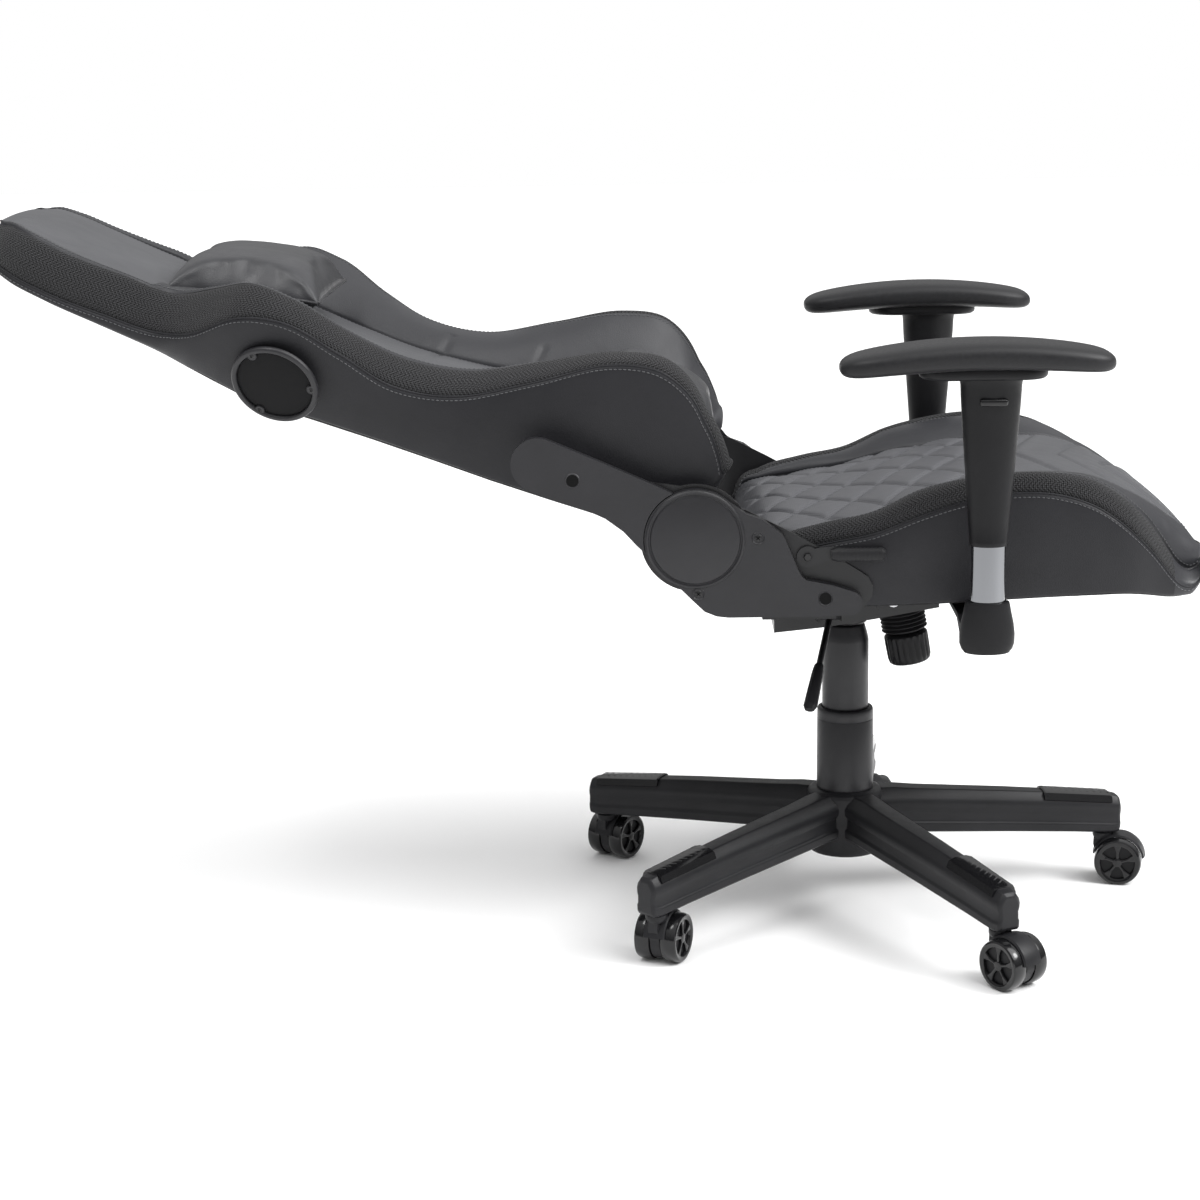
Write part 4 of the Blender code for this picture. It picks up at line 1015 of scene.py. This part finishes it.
def caster_hood(number, stem):
    """A caster's fork between its wheels, its stem's collar, its axle and the fender over them."""
    centre = (CASTER_TRAIL, WHEEL_R)
    outline = [(-0.0105, 0.0612), (-0.0112, 0.046), (-0.0085, 0.036)]
    outline += arc(centre, 0.0262, 178.0, 330.0, 22)
    outline += arc(centre, 0.0272, -8.0, 88.0, 18) + [(0.0112, 0.0578), (0.0108, 0.0612)]
    fin = prism(outline, -0.0060, 0.0060)
    round_edges(fin, 0.0014, 3)
    collar = lathe([(0.0, 0.0628), (0.0118, 0.0628), (0.0128, 0.0618), (0.0128, 0.0570),
                    (0.0108, 0.0535), (0.0, 0.0500)], 40)
    axle = lathe([(0.0, 0.0225), (0.0040, 0.0225), (0.0040, -0.0225), (0.0, -0.0225)], 24)
    fender = []
    for a in range(8, 176, 8):
        r = 0.0298
        c, s = math.cos(math.radians(a)), math.sin(math.radians(a))
        ring = [(centre[0] + (r + t) * c, y, centre[1] + (r + t) * s)
                for y, t in ((-0.0135, 0.0), (-0.0120, 0.0022), (0.0, 0.0034), (0.0120, 0.0022),
                             (0.0135, 0.0), (0.0, 0.0004))]
        fender.append(ring)
    place = FROM_COLUMN @ stem
    turn = Matrix.Translation((centre[0], 0.0, centre[1])) @ Matrix.Rotation(math.pi / 2, 4, "X")
    mesh = from_bmesh(merged([(fin, place, 0), (collar, place, 0), (axle, place @ turn, 0),
                              (skin(fender), place, 0)]), "hood")
    piece(f"caster_fork_{number}", mesh, "nylon", f"caster_{number}",
          instead=[f"caster_hood_{number}"])


SPOKES = 5


def caster_wheel(number, letter, stem):
    """A wheel whose face is cut with five oval pockets round a small hub cap."""
    side = -1.0 if letter == "a" else 1.0
    w = WHEEL_W / 2
    sunk = w - 0.0046
    profile = [(0.0205, w - 0.0040), (0.0215, w - 0.0012), (0.0232, w - 0.0002), (0.0262, w),
               (0.0280, w - 0.0010), (WHEEL_R, w - 0.0036), (WHEEL_R + 0.0002, 0.0),
               (WHEEL_R, -w + 0.0030), (0.0275, -w + 0.0004), (0.0150, -w), (0.0045, -w)]
    face = lathe([(0.0, sunk), (0.0210, sunk)], 48)
    hub = lathe([(0.0, w - 0.0008), (0.0042, w - 0.0008), (0.0056, w - 0.0014), (0.0062, sunk)], 40)
    parts = [(lathe(profile, 72), Matrix.Identity(4), 0), (face, Matrix.Identity(4), 1),
             (hub, Matrix.Identity(4), 0)]
    for k in range(SPOKES):
        rings = []
        for z, shrink in ((sunk, 0.0), (w - 0.0018, 0.0004), (w - 0.0012, 0.0014)):
            a, b = 0.0020 - shrink, 0.0052 - shrink
            rings.append([(0.0045, -a, z), (0.0130, -a, z), (0.0222, -b, z), (0.0222, b, z),
                          (0.0130, a, z), (0.0045, a, z)])
        turn = Matrix.Rotation(math.tau * (k + 0.25) / SPOKES, 4, "Z")
        parts.append((skin(rings, foot=False), turn, 0))
    place = (FROM_COLUMN @ stem @ Matrix.Translation((CASTER_TRAIL, side * WHEEL_Y, WHEEL_R))
             @ Matrix.Rotation(math.radians(90.0 if side < 0 else -90.0), 4, "X"))
    mesh = from_bmesh(merged([(bm, place @ m, i) for bm, m, i in parts]), "caster_wheel", 32.0)
    piece(f"caster_wheel_{number}{letter}", mesh, "gloss", f"wheel_{number}{letter}",
          instead=[f"wheel_{number}{letter}"], also=["plastic"])


def casters():
    """Five casters, one under each leg's end, each turned its own way."""
    for i, (angle, heading) in enumerate(zip(LEG_ANGLES, CASTER_HEADINGS)):
        a = math.radians(angle)
        stem = (Matrix.Translation((STEM_R * math.cos(a), STEM_R * math.sin(a), 0.0))
                @ Matrix.Rotation(math.radians(heading), 4, "Z"))
        caster_hood(i + 1, stem)
        caster_wheel(i + 1, "a", stem)
        caster_wheel(i + 1, "b", stem)


# ---------------------------------------------------------------- column and mechanism
def column():
    """The column's two telescoping sleeves, the spring's bellows and the tension knob."""
    lower = lathe([(0.0290, 0.2430), (0.0315, 0.2430), (0.0330, 0.2422), (0.0340, 0.2400),
                   (0.0341, 0.2300), (0.0336, 0.2290), (0.0341, 0.2280), (0.0345, 0.1424),
                   (0.0290, 0.1424)], 96)
    piece("column_sleeve_lower", from_bmesh(lower, "lower"), "cover", "base", FROM_COLUMN,
          ["column_cover_lower"])
    upper = lathe([(0.0143, 0.3470), (0.0215, 0.3470), (0.0230, 0.3462), (0.0236, 0.3448),
                   (0.0242, 0.3425), (0.0262, 0.3360), (0.0278, 0.3290), (0.0281, 0.3260),
                   (0.0281, 0.2420), (0.0278, 0.2410), (0.0281, 0.2400), (0.0281, 0.2360),
                   (0.0258, 0.2360)], 96)
    piece("column_sleeve_upper", from_bmesh(upper, "upper"), "cover", "lift", FROM_COLUMN,
          ["column_cover_upper"])
    knob_axis = FROM_COLUMN @ Matrix.Translation((0.0655, 0.0, 0.3735)) @ Matrix.Rotation(
        math.radians(-10.0), 4, "Y")
    profile = [(0.0090, -0.0006)]
    for k in range(7):
        z = -0.0012 - k * 0.0050
        profile += [(0.0242, z), (0.0274, z - 0.0014), (0.0278, z - 0.0022), (0.0272, z - 0.0030),
                    (0.0240, z - 0.0042)]
    profile += [(0.0236, -0.0362), (0.0090, -0.0364)]
    piece("bellows", from_bmesh(lathe(profile, 72), "bellows", 60.0), "rubber", "mechanism",
          knob_axis, ["spring_bellows"])
    knob = lathe([(0.0060, -0.0370), (0.0215, -0.0372), (0.0235, -0.0385), (0.0262, -0.0412),
                  (0.0266, -0.0430), (0.0266, -0.0500), (0.0264, -0.0600), (0.0262, -0.0690),
                  (0.0250, -0.0735), (0.0225, -0.0758), (0.0150, -0.0760), (0.0, -0.0752)], 120,
                 20, 0.0016, (-0.0700, -0.0420))
    piece("tension_knob_grip", from_bmesh(knob, "knob", 50.0), "plastic", "tension", knob_axis,
          ["tension_knob"])


# ---------------------------------------------------------------- armrests
def armrest(name, side):
    """One armrest: chrome post and its collar, the sleeve with its plate, button and pad."""
    place = FROM_COLUMN @ Matrix.Translation((ARM_X, side * ARM_HALF_Y, 0.0))
    post = skin([oval(0.0185, 0.0125, z) for z in (0.3935, 0.48, 0.56, 0.5895)])
    piece(f"chrome_post_{name}", from_bmesh(post, "post"), "chrome", "seat", place,
          [f"arm_post_{name}"])
    shape = ((0.3850, 0.0235, 0.0150), (0.3856, 0.0248, 0.0162), (0.3900, 0.0280, 0.0168),
             (0.3960, 0.0300, 0.0171), (0.4060, 0.0302, 0.0172), (0.4180, 0.0288, 0.0171),
             (0.4300, 0.0262, 0.0166), (0.4390, 0.0244, 0.0162), (0.4416, 0.0236, 0.0158),
             (0.4420, 0.0222, 0.0148), (0.4416, 0.0190, 0.0130))
    collar = skin([oval(x, y, z, 64) for z, x, y in shape])
    piece(f"post_collar_{name}", from_bmesh(collar, "collar"), "plastic", "seat", place,
          [f"arm_collar_{name}"])
    rings = []
    for z, x, y in ((0.5062, 0.0193, 0.0140), (0.5042, 0.0199, 0.0149), (0.5040, 0.0203, 0.0153),
                    (0.5060, 0.0207, 0.0158), (0.5090, 0.0209, 0.0159), (0.5100, 0.0207, 0.0156),
                    (0.5300, 0.0223, 0.0164), (0.5600, 0.0246, 0.0180), (0.5900, 0.0269, 0.0195),
                    (0.6200, 0.0291, 0.0210), (0.6450, 0.0309, 0.0224), (0.6620, 0.0321, 0.0238),
                    (0.6780, 0.0328, 0.0248), (0.6840, 0.0336, 0.0256), (0.6880, 0.0362, 0.0270)):
        rings.append(oval(x, y, z, 72))
    head = rounded_bar(-0.0770, 0.0600, 0.032, 0.6866, 0.6985)
    mesh = from_bmesh(merged([(skin(rings), place, 0), (head, place, 0)]), "sleeve", 45.0)
    piece(f"arm_tube_{name}", mesh, "plastic", f"armrest_{name}", instead=[f"arm_sleeve_{name}"])
    button = box(0.0300, 0.0080, 0.0084)
    round_edges(button, 0.0030, 4)
    lift = place @ Matrix.Translation((0.0, side * 0.0232, 0.6627))
    piece(f"height_button_{name}", from_bmesh(button, "button"), "gloss", f"button_{name}", lift,
          [f"arm_button_{name}"])
    arm_pad(name, place)


def rounded_bar(x_low, x_high, half, z_low, z_high):
    """A flat plate with rounded ends and a softened rim."""
    outline = ([(x_low + half + half * math.cos(math.radians(a)), half * math.sin(math.radians(a)))
                for a in range(90, 271, 10)]
               + [(x_high - half + half * math.cos(math.radians(a)),
                   half * math.sin(math.radians(a))) for a in range(-90, 91, 10)])
    middle = (x_low + x_high) / 2
    rings = []
    for z, inset in ((z_low, 0.003), (z_low + 0.002, 0.0006), (z_low + 0.004, 0.0),
                     (z_high - 0.002, 0.0), (z_high, 0.0010)):
        rings.append([(middle + (x - middle) * (1.0 - inset / (x_high - middle)),
                       y * (1.0 - inset / half), z) for x, y in outline])
    return skin(rings)


def arm_pad(name, place):
    """The long arched pad: full and rounded on top, with a moulded parting line round its flank."""
    rings = []
    steps = 44
    for i in range(steps + 1):
        t = math.sin(math.pi / 2 * (-1.0 + 2.0 * i / steps))
        half = 0.0440 * (0.26 + 0.74 * math.sqrt(max(0.0, 1.0 - abs(t) ** 5)))
        fall = 0.16 + 0.84 * math.sqrt(max(0.0, 1.0 - abs(t) ** 17))
        thick = 0.0318 - 0.0080 * t * t
        middle = 0.6962 - 0.0078 * t * t + 0.0018 * t + thick * 0.5
        reach = thick * 0.5 * fall
        ring = []
        for k in range(40):
            a = math.tau * k / 40
            c, s = math.cos(a), math.sin(a)
            y = half * math.copysign(abs(c) ** 0.52, c)
            z = middle + (reach * abs(s) ** 0.85 if s > 0 else -reach * abs(s) ** 0.60)
            ring.append((-0.0155 + 0.1455 * t, y, z))
        rings.append(ring)
    mesh = from_bmesh(skin(rings), "pad", 60.0)
    made = piece(f"armrest_pad_{name}", mesh, "pad", f"armrest_{name}", place, [f"arm_pad_{name}"])


# ---------------------------------------------------------------- recliners
HINGE = (HINGE_X, HINGE_Z)
DISC_R = 0.056
ARM_Y = 0.2503
ARM_END = (0.0050, 0.1920)


def facing(side):
    """Turns +Z to point out of the chair's right (-1) or left (1) side."""
    return Matrix.Rotation(math.radians(90.0 if side < 0 else -90.0), 4, "X")


def side_lathe(profile, x, z, y, side, steps=64):
    """A turned shape on the chair's side, its profile's heights pointing outwards from y."""
    return (lathe(profile, steps), FROM_COLUMN @ Matrix.Translation((x, side * y, z)) @ facing(side))


def recliner(name, side):
    """The moulded cover: a raised disc on a chamfered plate, with two screws and a blind hole whose
    floor is painted shade.
    """
    outline = arc(HINGE, DISC_R, 60.0, 250.0, 44)
    outline += [(-0.186, 0.4330), (-0.176, 0.4235), (-0.163, 0.4182), (-0.150, 0.4166),
                (-0.050, 0.4166)]
    outline += arc((-0.0160, 0.4310), 0.0140, -70.0, 62.0, 8)
    outline += [(-0.0340, 0.4515), (-0.0640, 0.4578), (-0.0690, 0.4625), (-0.0730, 0.4700),
                (-0.0870, 0.5040), (-0.0905, 0.5100), (-0.1120, 0.5262), (-0.1300, 0.5330)]
    low, high = sorted((side * ARM_Y, side * 0.2638))
    plate = prism(outline, low, high)
    round_edges(plate, 0.0024, 3, 50.0)
    parts = [(plate, FROM_COLUMN, 0)]
    disc = [(0.0, 0.2655), (0.0470, 0.2655), (0.0488, 0.2650), (0.0494, 0.2641), (0.0500, 0.2637),
            (0.0512, 0.2640), (0.0518, 0.2650), (0.0528, 0.2653), (0.0540, 0.2648),
            (0.0552, 0.2634), (0.0558, 0.2610), (0.0560, 0.2506), (0.0, 0.2506)]
    made, place = side_lathe(disc, HINGE_X, HINGE_Z, 0.0, side, 128)
    parts.append((made, place, 0))
    for x, z in ((-0.1170, 0.5060), (-0.1830, 0.4440)):
        well, place = side_lathe([(0.0072, 0.2641), (0.0066, 0.2647), (0.0058, 0.2640),
                                  (0.0056, 0.2622), (0.0, 0.2622)], x, z, 0.0, side, 40)
        parts.append((well, place, 0))
        parts += screw_head(0.0048, FROM_COLUMN @ Matrix.Translation((x, side * 0.2632, z))
                            @ facing(side))
    hole, place = side_lathe([(0.0082, 0.2638), (0.0076, 0.2646), (0.0068, 0.2640),
                              (0.0064, 0.2641), (0.0, 0.2641)], -0.0430, 0.4370, 0.0, side, 40)
    parts.append((hole, place, 0))
    # The blind hole's floor: a flat disc in near-black painted shade, for the shade down the hole.
    pit, place = side_lathe([(0.0066, 0.26435), (0.0, 0.26435)], -0.0430, 0.4370, 0.0, side, 40)
    parts.append((pit, place, 2))
    mesh = from_bmesh(merged(parts), "cover", 30.0)
    piece(f"recliner_shell_{name}", mesh, "cover", "seat", instead=[f"recliner_cover_{name}"],
          also=["steel_black", "recess"])


def back_arm(name, side):
    """The moulded arm bolted to the back, with its steel core round the hinge."""
    core = arc((0.0, 0.0), 0.0605, 100.0, 400.0, 60)
    core += [(0.0340, 0.0800), (0.0330, 0.1500)]
    core += arc(ARM_END, 0.0275, 10.0, 170.0, 14) + [(-0.0160, 0.1500), (-0.0150, 0.1000)]
    low, high = sorted((side * (ARM_Y + 0.0001), side * 0.2535))
    base = prism(core, low, high)
    shell = arc((0.0, 0.0), DISC_R + 0.0012, 130.0, 50.0, 16)
    shell += [(0.0372, 0.0600), (0.0362, 0.1300)]
    shell += arc(ARM_END, 0.0295, 4.0, 176.0, 20)
    shell += [(-0.0252, 0.1700), (-0.0222, 0.1450), (-0.0190, 0.1200), (-0.0190, 0.1000),
              (-0.0240, 0.0760), (-0.0320, 0.0570)]
    low, high = sorted((side * 0.2530, side * 0.2645))
    moulding = prism(shell, low, high)
    round_edges(moulding, 0.0030, 4, 50.0)
    hole = lathe([(0.0086, 0.2644), (0.0078, 0.2651), (0.0068, 0.2646), (0.0, 0.2646)], 40)
    # The blind hole's floor: a flat disc in near-black painted shade, for the shade down the hole.
    pit = lathe([(0.0067, 0.2648), (0.0, 0.2648)], 40)
    drop = FROM_BACK @ Matrix.Translation((0.0048, 0.0, 0.1500)) @ facing(side)
    mesh = from_bmesh(merged([(base, FROM_BACK, 1), (moulding, FROM_BACK, 0), (hole, drop, 0),
                              (pit, drop, 2)]), "arm", 30.0)
    piece(f"back_bracket_{name}", mesh, "cover", "back", instead=[f"back_arm_{name}"],
          also=["steel_black", "recess"])


def recline_lever():
    """The release: a steel plate that turns on its stud, and a ribbed moulded grip."""
    catch = FROM_COLUMN @ Matrix.Translation((-0.062, 0.0, 0.482))
    outline = arc((0.0, 0.0), 0.0120, 50.0, 300.0, 24)
    outline += [(0.0150, -0.0075), (0.0250, -0.0042), (0.0480, -0.0038), (0.0480, 0.0088),
                (0.0240, 0.0112), (0.0150, 0.0105)]
    plate = prism(outline, -0.2538, -0.2504)
    round_edges(plate, 0.0006, 2, 50.0)
    nut = lathe([(0.0, 0.2572), (0.0040, 0.2572), (0.0048, 0.2564), (0.0048, 0.2530)], 6)
    mesh = from_bmesh(merged([(plate, catch, 0), (nut, catch @ facing(-1), 1)]), "lever", 30.0)
    piece("release_plate", mesh, "steel_black", "release", instead=["recline_lever"],
          also=["gloss"])
    rings = []
    for k in range(41):
        t = k / 40
        x = 0.0258 + 0.0604 * t
        half = 0.0050 + 0.0022 * min(1.0, t * 8.0) - 0.0030 * max(0.0, t - 0.93) / 0.07
        if 0.18 < t < 0.88:
            half -= 0.0006 * (0.5 + 0.5 * math.cos(math.tau * t * 14))
        rings.append([(x, -0.2560 + half * 0.92 * math.copysign(abs(math.cos(a)) ** 0.8, math.cos(a)),
                       0.0025 + half * 1.08 * math.copysign(abs(math.sin(a)) ** 0.8, math.sin(a)))
                      for a in [math.tau * i / 28 for i in range(28)]])
    piece("release_grip", from_bmesh(skin(rings), "grip", 60.0), "rubber", "release", catch,
          ["recline_grip"])


def speakers():
    """The round side trims: a bevelled ring held by three screws, a fine cloth disc inside it."""
    for name, side in SIDES:
        axis = (FROM_BACK @ Matrix.Translation((-0.0330, side * 0.2370, 0.4900))
                @ Matrix.Rotation(math.radians(side * 32.0), 4, "Z") @ facing(side))
        ring = lathe([(0.0432, 0.0020), (0.0432, 0.0050), (0.0437, 0.0062), (0.0448, 0.0072),
                      (0.0462, 0.0076), (0.0480, 0.0072), (0.0493, 0.0061), (0.0499, 0.0048),
                      (0.0501, 0.0034), (0.0500, 0.0020)], 128)
        parts = [(ring, axis, 0)]
        for angle in (52.0, 172.0, 292.0):
            a = math.radians(angle)
            ear = axis @ Matrix.Translation((0.0428 * math.cos(a), 0.0428 * math.sin(a), 0.0))
            tab = lathe([(0.0, 0.0068), (0.0050, 0.0068), (0.0057, 0.0061), (0.0058, 0.0020)], 40)
            parts.append((tab, ear, 0))
            parts += screw_head(0.0028, ear @ Matrix.Translation((0.0, 0.0, 0.0069)))
        piece(f"trim_ring_{name}", from_bmesh(merged(parts), "ring", 30.0), "cover", "back",
              instead=[f"speaker_ring_{name}"], also=["steel_black", "recess"])
        disc = lathe([(0.0, 0.0056), (0.0220, 0.0053), (0.0370, 0.0044), (0.0424, 0.0036),
                      (0.0432, 0.0024)], 96)
        piece(f"trim_disc_{name}", from_bmesh(disc, "disc"), "lining", "back", axis,
              [f"speaker_disc_{name}"])


# ---------------------------------------------------------------- steel kept as the frame has it
CARRIED = {"column_tube": "steel_black", "piston_rod": "chrome", "mechanism_housing": "steel_black",
           "tilt_pivot_pin": "steel", "lever_bush": "plastic", "height_lever_rod": "steel_black",
           "lever_paddle": "plastic", "seat_plate": "steel_black", "seat_frame": "steel_black",
           "arm_bracket_right": "steel_black", "arm_bracket_left": "steel_black",
           "recliner_inner_right": "steel_black", "recliner_inner_left": "steel_black",
           "back_frame": "steel_black", "torsion_tube": "steel_black", "back_shell": "cover"}
BEVELS = {"mechanism_housing": 0.0030, "seat_plate": 0.0010, "seat_frame": 0.0020,
          "arm_bracket_right": 0.0008, "arm_bracket_left": 0.0008, "recliner_inner_right": 0.0005,
          "recliner_inner_left": 0.0005, "back_shell": 0.0012, "lever_paddle": 0.0008}


def carried_steel():
    """The CAD nodes that show as they are, with a finish and, on the plates, softened edges."""
    for node, key in CARRIED.items():
        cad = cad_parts[node]
        cad.data.materials.clear()
        cad.data.materials.append(M[key])
        if node in BEVELS:
            bevelled(cad, BEVELS[node], 35.0)


# ---------------------------------------------------------------- studio
def studio():
    """A pale floor, a soft bright room, and a camera on the chair's right."""
    floor_mesh = bpy.data.meshes.new("floor")
    size = 14.0
    floor_mesh.from_pydata([(-size, -size, 0), (size, -size, 0), (size, size, 0), (-size, size, 0)],
                           [], [(0, 1, 2, 3)])
    floor = bpy.data.objects.new("floor", floor_mesh)
    bpy.context.scene.collection.objects.link(floor)
    n = Nodes("floor_paint")
    shade = n.noise(0.6, 2.0)
    floor_mesh.materials.append(n.finish(n.tint(shade, (0.93, 0.93, 0.93), (0.96, 0.96, 0.96)),
                                         n.ramp(shade, 0.62, 0.75)))
    room()
    sun = bpy.data.lights.new("sky", "SUN")
    sun.energy = 2.4
    sun.angle = math.radians(50.0)
    above = bpy.data.objects.new("sky", sun)
    above.rotation_euler = (math.radians(14.0), math.radians(34.0), 0.0)
    bpy.context.scene.collection.objects.link(above)
    lamp("key", (-1.2, -1.2, 3.0), (COLUMN_X - 0.4, 0.0, 0.6), 0.9, 26.0)
    lamp("front", (2.9, -1.0, 2.3), (COLUMN_X + 0.1, 0.0, 0.5), 1.0, 62.0)
    camera = bpy.data.objects.new("camera", bpy.data.cameras.new("camera"))
    camera.data.lens = CAMERA_LENS
    camera.data.sensor_width = 36.0
    camera.data.clip_end = 60.0
    cy, sy = math.cos(CAMERA_YAW), math.sin(CAMERA_YAW)
    cp, sp = math.cos(CAMERA_PITCH), math.sin(CAMERA_PITCH)
    cr, sr = math.cos(CAMERA_ROLL), math.sin(CAMERA_ROLL)
    ahead = Vector((sy * cp, cy * cp, -sp))
    level = Vector((cy, -sy, 0.0))
    over = level.cross(ahead)
    right = level * cr + over * sr
    up = over * cr - level * sr
    turn = Matrix((right, up, -ahead)).transposed().to_4x4()
    camera.matrix_world = FROM_COLUMN @ Matrix.Translation(CAMERA_PLACE) @ turn
    bpy.context.scene.collection.objects.link(camera)
    bpy.context.scene.camera = camera
    bpy.context.scene.view_settings.view_transform = "Standard"


def room():
    """A white room: bright to look at, and a softer, even light on the chair."""
    world = bpy.data.worlds.new("room")
    world.use_nodes = True
    tree = world.node_tree
    tree.nodes.clear()
    lit = tree.nodes.new("ShaderNodeBackground")
    seen = tree.nodes.new("ShaderNodeBackground")
    for background in (lit, seen):
        background.inputs["Color"].default_value = (1.0, 1.0, 1.0, 1.0)
    way = tree.nodes.new("ShaderNodeTexCoord")
    split = tree.nodes.new("ShaderNodeSeparateXYZ")
    height = tree.nodes.new("ShaderNodeMapRange")
    height.inputs["From Min"].default_value = 0.0
    height.inputs["From Max"].default_value = 0.7
    height.inputs["To Min"].default_value = 0.07
    height.inputs["To Max"].default_value = 1.05
    path = tree.nodes.new("ShaderNodeLightPath")
    mix = tree.nodes.new("ShaderNodeMixShader")
    out = tree.nodes.new("ShaderNodeOutputWorld")
    for out_socket, in_socket in (
            (way.outputs["Generated"], split.inputs[0]), (split.outputs["Z"], height.inputs["Value"]),
            (height.outputs["Result"], lit.inputs["Strength"]),
            (path.outputs["Is Camera Ray"], mix.inputs["Fac"]), (lit.outputs[0], mix.inputs[1]),
            (seen.outputs[0], mix.inputs[2]), (mix.outputs[0], out.inputs["Surface"])):
        tree.links.new(out_socket, in_socket)
    bpy.context.scene.world = world


def lamp(name, place, aim, size, power):
    """A square area lamp that looks at a point."""
    light = bpy.data.lights.new(name, "AREA")
    light.size = size
    light.energy = power
    made = bpy.data.objects.new(name, light)
    made.location = place
    made.rotation_euler = (Vector(aim) - Vector(place)).to_track_quat("-Z", "Y").to_euler()
    bpy.context.scene.collection.objects.link(made)


# ---------------------------------------------------------------- assembly
back_cover()
seat_cover()
cushion("neck_pillow", (0.0225, 0.5700), math.radians(18.0), 0.135, 0.098, 0.0450, 0.0210,
        "head_pillow")
cushion("waist_cushion", (0.0880, 0.0860), 0.0, 0.128, 0.082, 0.0440, 0.0300, "lumbar_cushion")
star_base()
leg_treads()
casters()
column()
for make in (armrest, recliner, back_arm):
    for name, side in SIDES:
        make(name, side)
recline_lever()
speakers()
carried_steel()
studio()
